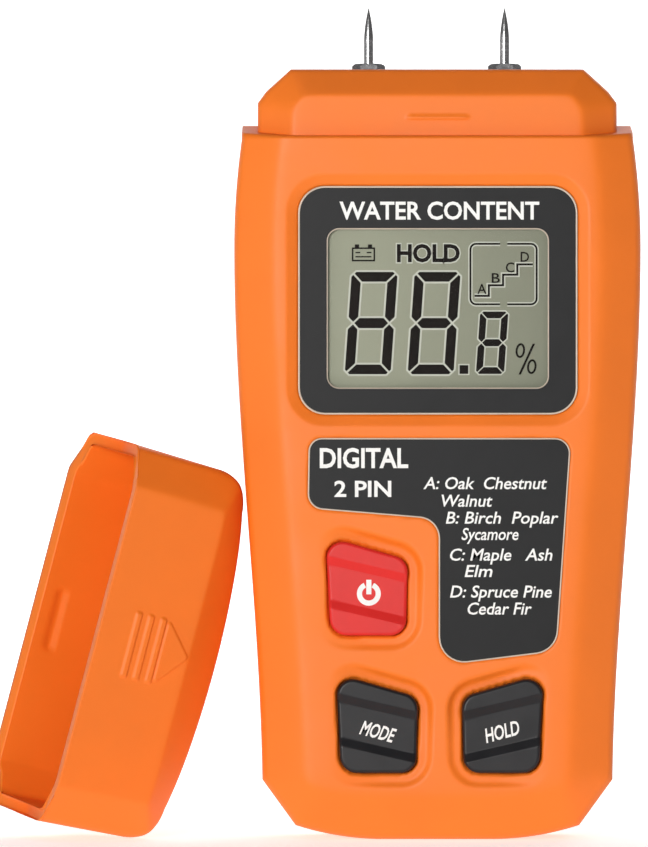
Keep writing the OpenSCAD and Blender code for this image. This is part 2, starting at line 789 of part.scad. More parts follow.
// screw driven along -Y: head at depth y, shank in front of it, with a cross slot
module screw(x, z, y, head_d, head_t, d, l) {
    difference() {
        union() {
            bore_y(x, z, head_d / 2, y - head_t, y);
            bore_y(x, z, d / 2, y - head_t - l, y - head_t + eps);
        }
        for (a = [0, 90])
            translate([x, y, z]) rotate([0, a, 0]) cube([head_d * 0.62, head_t, 0.5], center = true);
    }
}
module case_screws() {
    color("silver")
    for (s = [-1, 1]) {
        screw(s * low_post[0], low_post[1], half_d - 0.7, screw_head_d, 1.9, screw_d - 0.25, 16);
        screw(s * high_post[0], high_post[1], half_d - 0.7, screw_head_d, 1.9, screw_d - 0.25, 16);
    }
}
module board_screws() {
    color("silver")
    for (s = [-1, 1]) for (z = boss_z)
        screw(s * boss_x, z, board_back + 1.1, 3.2, 1.1, 1.65, 4.2);
}

// cap in its closed place over the nose
module cap_closed() {
    in_side = facet_w + 0.6 * cap_wall;
    in_end = cap_end_facet + 0.6 * cap_end_wall;
    difference() {
        hull() {
            plate(cap_outline(0, 0, cap_corner_r), -side_d, side_d);
            plate(cap_outline(facet_w, cap_end_facet, cap_corner_r - 2), -half_d, half_d);
        }
        // mouth, sloping down from mid-depth to the front and the back as the ledge does
        for (s = [-1, 1]) hull() for (y = [0, s * (half_d + 3)])
            translate([0, y, ledge_at(y) - ledge_z - 5]) cube([90, 0.02, 10], center = true);
        hull() {
            plate(cap_outline(cap_wall, cap_end_wall, cap_corner_r - 1.5), -side_d + 1, side_d - 1);
            plate(cap_outline(in_side, in_end, cap_corner_r - 3), -half_d + cap_wall,
                half_d - cap_wall);
        }
        // grooves that the nose's snap bumps clip into
        for (s = [-1, 1]) hull()
            for (z = [0.5, 2.4]) translate([0, s * (half_d - cap_wall), z])
                cube([bump_w + 0.8, 0.9, 0.02], center = true);
    }
    // arrow in relief on the front
    for (i = [0:2]) hull() for (s = [-1, 1])
        bore_y(5.1 * s, 3.9 + 2.3 * i, 0.4, -half_d - 0.25, -half_d + 0.3);
    hull() for (q = [[-4.9, 10.1], [4.9, 10.1], [0, 14.0]])
        bore_y(q[0], q[1], 0.5, -half_d - 0.2, -half_d + 0.3);
}
module cap() {
    color("orange")
    translate([cap_x, cap_y, cap_z])
        rotate([0, 90 + cap_lean, 0])
        rotate([-cap_turn, 0, 0])
        cap_closed();
}

front_housing();
back_housing();
battery_door();
display_bezel();
display_window();
lcd_glass();
lcd_holder();
zebra_strips();
main_board();
controller_chip();
board_passives();
legend_plate();
power_key();
mode_key();
hold_key();
power_plunger();
mode_plunger();
hold_plunger();
power_switch();
mode_switch();
hold_switch();
battery();
battery_terminals();
battery_snap();
snap_lead_red();
snap_lead_black();
electrode_pin_left();
electrode_pin_right();
pin_nut_left();
pin_nut_right();
pin_socket_left();
pin_socket_right();
solder_lug_left();
solder_lug_right();
pin_lead_left();
pin_lead_right();
case_screws();
board_screws();
cap();
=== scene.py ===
"""Moisture meter with its pin cap off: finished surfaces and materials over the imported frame.

All sizes in the helper functions are millimetres; a mesh is turned to metres as it is made.
+Z is up, the display faces -Y.
"""

import json
import math

import bmesh
import bpy
import numpy as np
from bpy.props import FloatProperty, FloatVectorProperty, PointerProperty
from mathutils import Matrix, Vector


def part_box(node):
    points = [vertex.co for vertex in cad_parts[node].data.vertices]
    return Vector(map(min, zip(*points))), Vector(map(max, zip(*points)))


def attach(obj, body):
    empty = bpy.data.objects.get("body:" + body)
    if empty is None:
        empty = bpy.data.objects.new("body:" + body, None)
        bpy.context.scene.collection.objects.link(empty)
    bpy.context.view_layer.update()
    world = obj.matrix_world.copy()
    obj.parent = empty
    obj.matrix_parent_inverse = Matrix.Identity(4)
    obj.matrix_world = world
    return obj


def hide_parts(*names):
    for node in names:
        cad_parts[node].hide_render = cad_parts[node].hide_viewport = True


bl_info = {
    "name": "Moisture Meter",
    "version": (1, 0, 0),
    "blender": (4, 5, 0),
    "location": "3D View > Sidebar > Meter",
    "description": "Builds a pin-type moisture meter and its cap over a packed frame",
    "category": "Object",
}

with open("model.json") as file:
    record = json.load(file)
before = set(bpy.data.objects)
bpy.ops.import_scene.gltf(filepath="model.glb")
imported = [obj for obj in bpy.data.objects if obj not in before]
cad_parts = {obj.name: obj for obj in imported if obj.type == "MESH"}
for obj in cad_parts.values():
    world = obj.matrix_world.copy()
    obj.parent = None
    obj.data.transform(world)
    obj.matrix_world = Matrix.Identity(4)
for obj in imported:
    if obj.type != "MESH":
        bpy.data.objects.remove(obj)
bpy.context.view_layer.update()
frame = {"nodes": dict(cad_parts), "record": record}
NODES = frame["nodes"]
MM = 0.001
LOW_CORNER_Z = 9.9  # height where the case's sides meet its lower corners
NOSE_STEP = 2.25  # how far the nose is set in from the case
NOSE_CUTS = (5.6, 3.7, 1.4, 5.5)  # nose corners: two heights below the top, two widths in
CAP_SIDE_LEAN = 0.03  # how fast the cap's sides draw in, mm per mm of height
CAP_TURN, CAP_LEAN = -26.5, 104.7  # the leaning cap's two angles, degrees
CAP_CORNER = 6.0  # corner radius of the cap
RIM_SHARES = np.array([0.16, 0.4, 0.7, 0.97, 0.985, 1.0])  # steps from a border to mid-depth
SLAB_STEP, SLAB_STEPS = 0.002, 7  # how far apart the front faces of slabs lie, and how many ways
PLASTIC_IOR = 1.46


def node_box(name):
    """Lowest and highest corner of a frame node, in millimetres."""
    lo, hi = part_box(name)
    return np.array(lo) / MM, np.array(hi) / MM


FRONT_LO, FRONT_HI = node_box("front_housing")
BACK_LO, BACK_HI = node_box("back_housing")
PLATE_LO, PLATE_HI = node_box("display_bezel")
GLASS_LO, GLASS_HI = node_box("lcd_glass")
WINDOW_LO, WINDOW_HI = node_box("display_window")
LEGEND_LO, LEGEND_HI = node_box("legend_plate")
DOOR_LO, DOOR_HI = node_box("battery_door")
FACE_Y = -BACK_HI[1]
NOSE_TOP = FRONT_HI[2]


# ---------------------------------------------------------------- settings


def length(name, text, mm):
    """A length setting, given in millimetres and held in metres."""
    return FloatProperty(name=name, description=text, default=mm * MM, unit="LENGTH", precision=5)


def colour(name, text, rgb):
    """A colour setting."""
    return FloatVectorProperty(
        name=name, description=text, default=rgb, subtype="COLOR", size=3, min=0, max=1
    )


class MeterCaseSettings(bpy.types.PropertyGroup):
    """Sizes of the case, its nose and its cap"""

    widest: length("Widest", "Half-width at the widest point", 33.7)
    grip: length("Grip", "Half-width just above the lower corners", 29.0)
    widest_height: length("Widest height", "Height of the widest point", 98.0)
    top_draw: length("Top draw", "How much the sides draw in up to the ledge", 1.65)
    ledge: length("Ledge", "Height of the ledge at mid-depth", 118.6)
    ledge_drop: length("Ledge drop", "Fall of the ledge towards front and back", 2.4)
    facet: length("Facet width", "Width of the side facets", 6.5)
    facet_depth: length("Facet depth", "Depth of the side facets", 4.2)
    foot_facet: length("Foot facet", "Height of the facet along the foot", 7.2)
    crease: length("Crease", "How softly the facets run into the face", 0.7)
    cap_height: length("Cap height", "Height of the cap above the ledge", 22.8)
    cap_arch: length("Cap arch", "Drop of the cap's end from middle to side", 4.6)
    cap_wall: length("Cap wall", "Wall of the cap", 1.95)


class MeterKeySettings(bpy.types.PropertyGroup):
    """Sizes of the keys"""

    width: length("Width", "Width of a key", 13.5)
    height: length("Height", "Height of a key at its tall side", 15.6)
    corner: length("Corner", "Corner radius of a key", 2.7)
    proud: length("Proud", "How far a key stands out of the face", 0.5)
    band: length("Band", "Depth of the sunk band across a key", 0.75)


class MeterColours(bpy.types.PropertyGroup):
    """Colours of the finishes"""

    shell: colour("Shell", "Moulded case and cap", (0.90, 0.192, 0.015))
    plate: colour("Plate", "Display and legend plates", (0.0125, 0.013, 0.014))
    glass: colour("Display", "Display behind the window", (0.345, 0.360, 0.270))
    segment: colour("Segment", "Lit segments", (0.010, 0.007, 0.006))
    power: colour("Power key", "Power key rubber", (0.68, 0.022, 0.019))
    rubber: colour("Keys", "Mode and hold key rubber", (0.012, 0.012, 0.014))
    print: colour("Print", "White printing", (0.86, 0.86, 0.84))


# ---------------------------------------------------------------- meshes


def put_mesh(name, points, faces, merge=0.002, smooth=True):
    """Object from points in millimetres and faces, with doubles merged and normals outward."""
    me = bpy.data.meshes.new(name)
    places = (np.asarray(points, float) * MM).tolist()
    me.from_pydata(places, [], [list(map(int, f)) for f in faces])
    me.validate()
    ob = bpy.data.objects.new(name, me)
    bpy.context.scene.collection.objects.link(ob)
    bm = bmesh.new()
    bm.from_mesh(me)
    if merge:
        bmesh.ops.remove_doubles(bm, verts=bm.verts, dist=merge * MM)
    bmesh.ops.recalc_face_normals(bm, faces=bm.faces)
    bm.to_mesh(me)
    bm.free()
    me.shade_smooth() if smooth else me.shade_flat()
    return ob


def grid_faces(rows, cols, start=0, turned=False):
    """Quads of a grid of points stored row by row."""
    i = np.arange((rows - 1) * cols).reshape(rows - 1, cols)[:, :-1].ravel() + start
    f = np.stack([i, i + 1, i + cols + 1, i + cols], 1)
    return f[:, ::-1] if turned else f


def join_grids(grids):
    """Points and faces of several grids, each (array of rows x columns x 3)."""
    pts, faces, n = [], [], 0
    for g in grids:
        r, c = g.shape[:2]
        pts.append(g.reshape(-1, 3))
        faces.append(grid_faces(r, c, n))
        n += r * c
    return np.concatenate(pts), np.concatenate(faces)


def ease(u):
    """Zero below 0, one above 1, and 3u^2 - 2u^3 between."""
    u = np.clip(u, 0, 1)
    return u * u * (3 - 2 * u)


def soft_floor(v, c):
    """Zero for very negative v and v for large v, with a bend of size c between."""
    return 0.5 * (v + np.sqrt(v * v + c * c))


def soft_max(values, p=9.0):
    """Largest of several fields, rounded where two are close: log of the sum of exponentials."""
    m = np.max(values, 0)
    return m + np.log(np.sum(np.exp(p * (np.array(values) - m)), 0)) / p


def polygon_distance(x, z, pts):
    """Signed distance from each point to a closed outline, negative inside: the distance to the
    nearest edge, with the sign from counting the edges that a level line crosses."""
    d = np.full(x.shape, 1e9)
    inside = np.zeros(x.shape, bool)
    for (ax, az), (bx, bz) in zip(pts, np.roll(pts, -1, 0)):
        ex, ez = bx - ax, bz - az
        t = np.clip(((x - ax) * ex + (z - az) * ez) / (ex * ex + ez * ez), 0, 1)
        d = np.minimum(d, np.hypot(x - ax - t * ex, z - az - t * ez))
        cross = (az > z) != (bz > z)
        if abs(ez) > 1e-9:
            inside ^= cross & (x < ax + (z - az) * ex / ez)
    return np.where(inside, -d, d)


def rounded(corners, n=8):
    """Closed outline with each corner [x, z, r] replaced by an arc that touches both its edges."""
    c = np.array(corners, float)
    out = []
    for i in range(len(c)):
        p, r = c[i, :2], c[i, 2]
        u = c[i - 1, :2] - p
        v = c[(i + 1) % len(c), :2] - p
        u, v = u / np.linalg.norm(u), v / np.linalg.norm(v)
        half = math.acos(np.clip(u @ v, -1, 1)) / 2
        m = p + (u + v) / np.linalg.norm(u + v) * r / math.sin(half)
        s, f = p + u * r / math.tan(half) - m, p + v * r / math.tan(half) - m
        turn = math.acos(np.clip(s @ f / r / r, -1, 1))
        way = 1 if s[0] * f[1] - s[1] * f[0] > 0 else -1
        a = way * turn * np.linspace(0, 1, n + 1)
        out.append(np.stack([m[0] + s[0] * np.cos(a) - s[1] * np.sin(a),
                             m[1] + s[0] * np.sin(a) + s[1] * np.cos(a)], 1))
    return np.concatenate(out)


def rect(cx, cz, w, h, r, n=8):
    """Outline of a rectangle about a centre, with corners of radius r."""
    return rounded([[cx - w / 2, cz - h / 2, r], [cx + w / 2, cz - h / 2, r],
                    [cx + w / 2, cz + h / 2, r], [cx - w / 2, cz + h / 2, r]], n)


def flat_solid(name, outlines, y, thick):
    """Thin closed slabs of [x, z] outlines, from depth y back to y + thick. Each front face lies
    two microns off its neighbour's, so that slabs that overlap never share a face."""
    pts, faces, n = [], [], 0
    for i, o in enumerate(outlines):
        o = np.asarray(o, float)
        k = len(o)
        pts.append(np.stack([o[:, 0], np.full(k, y - SLAB_STEP * (i % SLAB_STEPS)), o[:, 1]], 1))
        pts.append(np.stack([o[:, 0], np.full(k, y + thick), o[:, 1]], 1))
        faces.append(list(range(n, n + k)))
        faces.append(list(range(n + 2 * k - 1, n + k - 1, -1)))
        faces += [[n + j, n + k + j, n + k + (j + 1) % k, n + (j + 1) % k] for j in range(k)]
        n += 2 * k
    return put_mesh(name, np.concatenate(pts), faces, merge=0, smooth=False)


def lettering(name, lines, y, thick, shear=0.0):
    """Raised words as one closed mesh. Each line is (words, x of its left end or centre, z of its
    baseline, cap height, width or None, turn in degrees, centred, boldness)."""
    me_all = bmesh.new()
    for words, x, z, high, wide, turn, centred, bold in lines:
        cu = bpy.data.curves.new("words", "FONT")
        cu.body, cu.size, cu.resolution_u = words, 1.0, 3
        cu.offset, cu.extrude, cu.shear = bold, 0.5, shear
        ob = bpy.data.objects.new("words", cu)
        bpy.context.scene.collection.objects.link(ob)
        bpy.context.view_layer.update()
        me = bpy.data.meshes.new_from_object(
            ob.evaluated_get(bpy.context.evaluated_depsgraph_get()))
        co = np.zeros(len(me.vertices) * 3, np.float32)
        me.vertices.foreach_get("co", co)
        co = co.reshape(-1, 3).astype(float)
        lo, hi = co.min(0), co.max(0)
        k = high / 0.73
        kx = k if wide is None else wide / (hi[0] - lo[0])
        px = (co[:, 0] - (lo[0] + hi[0]) / 2 if centred else co[:, 0] - lo[0]) * kx
        pz = co[:, 1] * k
        if centred:
            pz = pz - high / 2
        a = math.radians(turn)
        out = np.stack([x + px * math.cos(a) - pz * math.sin(a),
                        y + thick * (0.5 - co[:, 2]),
                        z + px * math.sin(a) + pz * math.cos(a)], 1) * MM
        me.vertices.foreach_set("co", out.astype(np.float32).ravel())
        me_all.from_mesh(me)
        bpy.data.objects.remove(ob)
        bpy.data.curves.remove(cu)
        bpy.data.meshes.remove(me)
    bmesh.ops.remove_doubles(me_all, verts=me_all.verts, dist=1e-7)
    bmesh.ops.recalc_face_normals(me_all, faces=me_all.faces)
    mesh = bpy.data.meshes.new(name)
    me_all.to_mesh(mesh)
    me_all.free()
    ob = bpy.data.objects.new(name, mesh)
    bpy.context.scene.collection.objects.link(ob)
    return ob


def edge_bead(name, outline, y, r):
    """Thin bead along a closed outline: a circle of radius r carried round it, its plane turning
    with the outline's own normal."""
    o = np.asarray(outline, float)
    t = np.roll(o, -1, 0) - np.roll(o, 1, 0)
    n = np.stack([t[:, 1], -t[:, 0]], 1) / np.hypot(t[:, 0], t[:, 1])[:, None]
    a = np.linspace(0, 2 * math.pi, 13)
    g = np.stack([o[:, None, 0] + r * np.cos(a) * n[:, None, 0],
                  np.broadcast_to(y + r * 0.6 * np.sin(a), (len(o), 13)),
                  o[:, None, 1] + r * np.cos(a) * n[:, None, 1]], -1)
    pts, faces = join_grids([np.concatenate([g, g[:1]])])
    return put_mesh(name, pts, faces, merge=0.0005)


def patch(left, right, low, high):
    """Grid between four border curves: the two blends across and up, less the blend of corners."""
    rows, cols = len(left), len(low)
    u = np.linspace(0, 1, cols)[None, :, None]
    v = np.linspace(0, 1, rows)[:, None, None]
    across = (1 - u) * left[:, None] + u * right[:, None]
    up = (1 - v) * low[None] + v * high[None]
    corners = ((1 - u) * (1 - v) * low[0] + u * (1 - v) * low[-1]
               + (1 - u) * v * high[0] + u * v * high[-1])
    return across + up - corners


def resample(pts, n):
    """n points along an open polyline, evenly by arc length."""
    pts = np.asarray(pts, float)
    s = np.concatenate([[0], np.cumsum(np.hypot(*np.diff(pts, axis=0).T))])
    t = np.linspace(0, s[-1], n)
    return np.stack([np.interp(t, s, pts[:, 0]), np.interp(t, s, pts[:, 1])], 1)


# ---------------------------------------------------------------- case


def case_sizes():
    """The case's settings in millimetres, by name."""
    c = bpy.context.scene.meter_case
    return {k: getattr(c, k) / MM for k in c.bl_rna.properties.keys()
            if k not in ("rna_type", "name")}


def side_x(z, c):
    """Half-width at height z: an ease from the grip to the widest point, then a parabola."""
    low = c["grip"] + (c["widest"] - c["grip"]) * ease((z - 5) / (c["widest_height"] - 5))
    t = (z - c["widest_height"]) / (c["ledge"] - c["widest_height"])
    return np.where(z < c["widest_height"], low, c["widest"] - c["top_draw"] * t * t)


def foot_z(x, c):
    """Underside: level across the land, then rising as a square to the lower corners."""
    t = np.clip((np.abs(x) - 9) / 14.5, 0, None)
    return 2.3 * t * t


def edge_round(d, r):
    """Extra depth of a quarter round of radius r at distance d in from a wall."""
    t = np.clip(r - d, 0, r)
    return r - np.sqrt(np.maximum(r * r - t * t, 0))


def key_outline(cx, cz, side, n=8):
    """Outline of a key: four corners, with a slanted top that is high on its outer side."""
    k = bpy.context.scene.meter_keys
    w, h, r = k.width / MM / 2, k.height / MM / 2, k.corner / MM
    fall = 2 * w * math.tan(math.radians(16))
    q = [[-w + 0.7, -h, r + 0.2], [w - 0.3, -h, r], [w, h + 0.8 - fall, r], [-w - 0.1, h + 0.8, r]]
    return rounded([[side * a, b, c] for a, b, c in q], n) + [cx, cz]


def key_spots():
    """Centre, side and node of each key, from the frame's own boxes."""
    out = []
    for name, side in (("power", 1), ("mode", 1), ("hold", -1)):
        lo, hi = node_box(name + "_switch")
        out.append((name, (lo[0] + hi[0]) / 2, (lo[2] + hi[2]) / 2, side))
    return out


def legend_outline(grow=0.0):
    """Outline of the legend plate, moved out by the given amount."""
    top = LEGEND_HI[2]
    g = grow
    return rounded([[-21.3 - g, top + g, 2.2], [22 + g, top + g, 2.5],
                    [19.6 + g, top - 35.2 - g, 4], [0.15 - g, top - 37.6 - g, 4.2],
                    [0.15 - g, top - 13.4 - g, 3.4], [-21.5 - g, top - 11.6 - g, 2.6]])


def front_pockets(x, z):
    """Depth sunk into the face: the display funnel, the legend pocket, the key holes and the
    hollows beside the keys. Each is a step in the signed distance to its outline."""
    cx, cz = (PLATE_LO[0] + PLATE_HI[0]) / 2, (PLATE_LO[2] + PLATE_HI[2]) / 2
    w, h = PLATE_HI[0] - PLATE_LO[0], PLATE_HI[2] - PLATE_LO[2]
    d = polygon_distance(x, z, rect(cx, cz, w, h, 4.4))
    deep = np.where(d < 0.05, 0.85 + 1.0 * ease(-(d - 0.05) / 0.5), 0)
    bevel = 0.85 * np.clip((1.95 - d) / 1.9, 0, 1)
    out = np.where(d < 0.05, deep, bevel)
    mid_z = (GLASS_LO[2] + GLASS_HI[2]) / 2
    d = polygon_distance(x, z, rect(0, mid_z, 41.2, 31.2, 0.6, 3))
    out = np.maximum(out, np.where(d < 0.1, 5.2 * ease((0.1 - d) / 0.25), 0))
    d = polygon_distance(x, z, legend_outline())
    out = np.maximum(out, 0.42 * ease((0.16 - d) / 0.3))
    for _, kx, kz, side in key_spots():
        near = (np.abs(x - kx) < 16) & (np.abs(z - kz) < 16)
        xs, zs = x[near], z[near]
        d = polygon_distance(xs, zs, key_outline(kx, kz, side))
        hole = 1.9 * ease((0.42 - d) / 0.4)
        # hollow: deepest over and beside the key, running out at the outer side
        reach = 2.2
        inner = ease(((xs - kx) * side + 8.2) / 9.5)
        upper = 0.55 + 0.45 * ease((zs - kz + 4) / 9)
        slope = ease((reach + 0.5 - d) / 1.2)
        low = ease((zs - kz + 10.9) / 1.8)
        hollow = 1.15 * inner * upper * slope * np.where(zs < kz - 5, 0.4 + 0.6 * low, 1)
        out[near] = np.maximum(out[near], np.maximum(hole + hollow * 0.3, hollow))
    return out


def case_face(x, z, c):
    """Depth of the case's face. Each border gives a field that is 1 on the border and 0 where its
    facet meets the face; their rounded maximum is bent softly to the flat face."""
    facet = c["facet"] + 0.7 * (1 - z / c["ledge"]) ** 2
    side = side_x(z, c) - np.abs(x)
    foot = z - foot_z(x, c)
    ax, az = 5.54, 7.6
    n = math.hypot(ax, az)
    corner = ((c["grip"] - np.abs(x)) * az + (z - LOW_CORNER_Z) * ax) / n
    e = soft_max([1 - side / facet, 1 - foot / c["foot_facet"], 1 - corner / 5.6], 13.0)
    bend = c["crease"] / c["facet"] * 1.5
    y = c["facet_depth"] * (soft_floor(e, bend) - 0.25 * bend * bend)
    wall = np.minimum(np.minimum(side, foot), corner)
    y = y + edge_round(np.clip(wall, 0, None), 1.1)
    return FACE_Y + y


def carried_back(line, shares):
    """A border line, then its copies with their depth cut by each of the shares."""
    rows = np.repeat(line[None], len(shares) + 1, 0)
    rows[1:, :, 1] = line[:, 1] * (1 - np.asarray(shares))[:, None]
    return rows


def ledge_z(y, c):
    """Height of the ledge at a depth: it falls in proportion towards front and back."""
    return c["ledge"] - c["ledge_drop"] * np.abs(y) / abs(FACE_Y)


def add_rims(g, c, ledge):
    """Carries the borders of a face grid back to mid-depth. A border keeps its place in the
    front view while its depth goes to zero; on the ledge its height follows the depth. With a
    ledge, the last point of the sides and of the lower border is set on it too."""
    out = [g]
    for line in (g[:, 0], g[:, -1], g[0]):
        rim = carried_back(line, RIM_SHARES)
        if ledge:
            rim[1:, -1, 2] = ledge_z(rim[1:, -1, 1], c)
        out.append(rim)
    high = carried_back(g[-1], RIM_SHARES)
    if ledge:
        high[1:, :, 2] = ledge_z(high[1:, :, 1], c)
    return out + [high]


def case_half(c, way, cols, rows):
    """Face, sides, foot and ledge of half the case. The face is a grid between the foot, the
    two sides and the ledge, with its depth from case_face and its pockets sunk in."""
    top = c["ledge"] - c["ledge_drop"]
    zs = np.linspace(LOW_CORNER_Z, top, 400)
    right = resample(np.stack([side_x(zs, c), zs], 1), rows)
    left = right * [-1, 1]
    xs = np.linspace(-23.5, 23.5, 400)
    low = np.concatenate([[[-c["grip"] - 0.04, LOW_CORNER_Z]], np.stack([xs, foot_z(xs, c)], 1),
                          [[c["grip"] + 0.04, LOW_CORNER_Z]]])
    low = resample(low, cols)
    low[0], low[-1] = left[0], right[0]
    high = np.stack([np.linspace(left[-1, 0], right[-1, 0], cols), np.full(cols, top)], 1)
    g = patch(left, right, low, high)
    x, z = g[..., 0], g[..., 1]
    y = case_face(x, z, c)
    y = y + (front_pockets(x, z) if way < 0 else back_pockets(x, z))
    g3 = np.stack([x, y, z], -1)
    # the ledge follows the depth of the face it ends on
    g3[-1, :, 2] = ledge_z(y[-1], c)
    out = add_rims(g3, c, True)
    for k in out:
        k[..., 1] *= -way
    return out


def nose_half(c, way, cols, rows):
    """Half of the nose: a face with facets at its sides, top corners and top, and a snap bump."""
    half = float(side_x(np.array(c["ledge"]), c)) - NOSE_STEP
    base = c["ledge"] - 6
    z1, z2, x1, x2 = NOSE_CUTS
    right = resample([[half, base], [half, NOSE_TOP - z1], [half - x1, NOSE_TOP - z2],
                      [half - x2, NOSE_TOP]], rows)
    left = right * [-1, 1]
    low = np.stack([np.linspace(-half, half, cols), np.full(cols, base)], 1)
    high = np.stack([np.linspace(-half + x2, half - x2, cols), np.full(cols, NOSE_TOP)], 1)
    g = patch(left, right, low, high)
    x, z = g[..., 0], g[..., 1]
    ax = np.abs(x)
    side = half - ax
    top = NOSE_TOP - z
    corner = ((half - x1 - ax) * z2 + (NOSE_TOP - z2 - z) * 4.1) / math.hypot(z2, 4.1)
    shoulder = ((half - ax) * 1.9 + (NOSE_TOP - z1 - z) * x1) / math.hypot(1.9, x1)
    e = soft_max([1 - side / 5.7, 1 - top / 4.4, 1 - corner / 4.6, 1 - shoulder / 5.2], 14.0)
    y = 4.0 * soft_floor(e, 0.07) - 0.002
    wall = np.minimum(np.minimum(side, top), np.minimum(corner, shoulder))
    y = y + edge_round(np.clip(wall, 0, None), 0.6) + FACE_Y + NOSE_STEP
    # snap bump: a wedge with its step at the lower edge
    zb = z - c["ledge"] - 0.7
    bump = (ease((zb + 0.1) / 0.14) * ease((0.95 - zb) / 0.85)
            * ease((5.15 - ax) / 0.4))
    y = y - 0.33 * bump
    out = add_rims(np.stack([x, y, z], -1), c, False)
    for k in out:
        k[..., 1] *= -way
    return out


def back_pockets(x, z):
    """Sunk into the back: the mouth of the battery door, the bay and the four screw recesses."""
    door_w = DOOR_HI[0] - 1.9
    lo, hi = DOOR_LO[2] - 0.35, DOOR_HI[2] + 0.3
    cz, h = (lo + hi) / 2, hi - lo
    d = polygon_distance(x, z, rect(0, cz, 2 * door_w + 0.6, h, 0.4, 3))
    out = 2.3 * ease((0.1 - d) / 0.25)
    b_lo, b_hi = node_box("battery")
    d = polygon_distance(x, z, rect(0, (b_lo[2] + b_hi[2]) / 2 + 1.6, b_hi[0] * 2 + 1.2,
                                    b_hi[2] - b_lo[2] + 3.8, 0.5, 3))
    deep = -FACE_Y - b_lo[1] + 0.15
    out = np.where(d < 0.1, np.maximum(out, 2.3 + (deep - 2.3) * ease((0.1 - d) / 0.3)), out)
    lo, hi = node_box("case_screws")
    sx, zl, zh = (hi[0] - lo[0]) / 2 - 2.3, lo[2] + 2.3, hi[2] - 2.3
    post_x = {zl: 19.4, zh: sx}
    for zz, xx in post_x.items():
        r = np.hypot(np.abs(x) - xx, z - zz)
        out = np.maximum(out, 2.5 * ease((2.62 - r) / 0.22))
    return out


def join_case(name, way, cols, rows, nose_cols, nose_rows):
    """One half of the case with its half of the nose, as one mesh."""
    c = case_sizes()
    grids = case_half(c, way, cols, rows) + nose_half(c, way, nose_cols, nose_rows)
    pts, faces = join_grids(grids)
    return put_mesh(name, pts, faces, merge=0.004)


def close_border(ob):
    """Closes the open border at mid-depth, and turns every face outward."""
    bm = bmesh.new()
    bm.from_mesh(ob.data)
    edges = [e for e in bm.edges if len(e.link_faces) == 1]
    if edges:
        bmesh.ops.holes_fill(bm, edges=edges, sides=0)
    bmesh.ops.recalc_face_normals(bm, faces=bm.faces)
    bm.to_mesh(ob.data)
    bm.free()


# ---------------------------------------------------------------- cap


def cap_turned(p):
    """Turns points of the closed cap to where the cap leans beside the case: a turn about its long
    axis and a lean to its side. build_cap then shifts them to set the corners on the frame's own cap
    box."""
    a = math.radians(CAP_TURN)
    x, y, z = p[..., 0], p[..., 1], p[..., 2]
    y, z = y * math.cos(a) - z * math.sin(a), y * math.sin(a) + z * math.cos(a)
    b = math.radians(CAP_LEAN)
    x, z = x * math.cos(b) + z * math.sin(b), -x * math.sin(b) + z * math.cos(b)
    return np.stack([x, y, z], -1)


def cap_half(c, way, inner, cols, rows):
    """Half of the cap's outer or inner skin, in its closed place, measured from the ledge."""
    w0 = float(side_x(np.array(c["ledge"]), c))
    a, b = (c["cap_wall"], 1.7) if inner else (0.0, 0.0)
    r = CAP_CORNER - (1.5 if inner else 0)
    depth = abs(FACE_Y) - (c["cap_wall"] if inner else 0)
    facet = c["facet"] - (0.8 if inner else 0)
    deep = c["facet_depth"] - (1.0 if inner else 0)
    lean = CAP_SIDE_LEAN

    def arch(x):
        return c["cap_height"] - c["cap_arch"] * (x / w0) ** 2 - b

    kx = w0 - lean * (c["cap_height"] - c["cap_arch"]) - a - r
    kz = arch(kx) - r
    ang = np.radians(np.linspace(0, 45, 14))
    low_z = -c["ledge_drop"]
    edge = np.concatenate([[[w0 - a - lean * low_z, low_z]],
                           np.stack([kx + r * np.cos(ang), kz + r * np.sin(ang)], 1)])
    right = resample(edge, rows)
    left = right * [-1, 1]
    ang = np.radians(np.linspace(45, 90, 14))
    xs = np.linspace(kx, 0, 40)[1:]
    half = np.concatenate([np.stack([kx + r * np.cos(ang), kz + r * np.sin(ang)], 1),
                           np.stack([xs, arch(xs)], 1)])
    high = resample(np.concatenate([half * [-1, 1], half[::-1][1:]]), cols)
    low = np.stack([np.linspace(left[0, 0], right[0, 0], cols), np.full(cols, low_z)], 1)
    g = patch(left, right, low, high)
    x, z = g[..., 0], g[..., 1]
    ax = np.abs(x)
    side = w0 - a - lean * z - ax
    end = arch(ax) - z
    qx, qz = np.clip(ax - kx, 0, None), np.clip(z - kz, 0, None)
    corner = r - np.hypot(qx, qz)
    wall = np.where((ax > kx) & (z > kz), corner, np.minimum(side, end))
    e = soft_max([1 - side / facet, 1 - end / (5.2 - b * 0.3), 1 - (corner + 1.2) / 6.4], 14.0)
    bend = 0.06
    y = deep * (soft_floor(e, bend) - 0.25 * bend * bend)
    y = y + edge_round(np.clip(wall, 0, None), 1.1 if not inner else 0.8)
    y = -depth + np.minimum(y, depth - 0.5)
    if inner:
        groove = ease((5.4 - ax) / 0.35) * (ease((z - 0.5) / 0.3) * ease((2.4 - z) / 0.3))
        y = y - 0.45 * groove
    elif way < 0:
        y = y - 0.38 * arrow_relief(x, z)
    g3 = np.stack([x, y, z], -1)
    g3[0, :, 2] = -c["ledge_drop"] * np.abs(y[0]) / abs(FACE_Y)
    out = add_cap_rims(g3, c)
    for k in out:
        k[..., 1] *= -way
    return out


def add_cap_rims(g, c):
    """Carries the sides and the end back to mid-depth. The mouth's height follows its depth."""
    t = np.linspace(0, 1, 9)[1:]
    left, right, high = (carried_back(line, t) for line in (g[:, 0], g[:, -1], g[-1]))
    for s in (left, right):
        s[:, 0, 2] = -c["ledge_drop"] * np.abs(s[:, 0, 1]) / abs(FACE_Y)
    return [g, left, right, high]


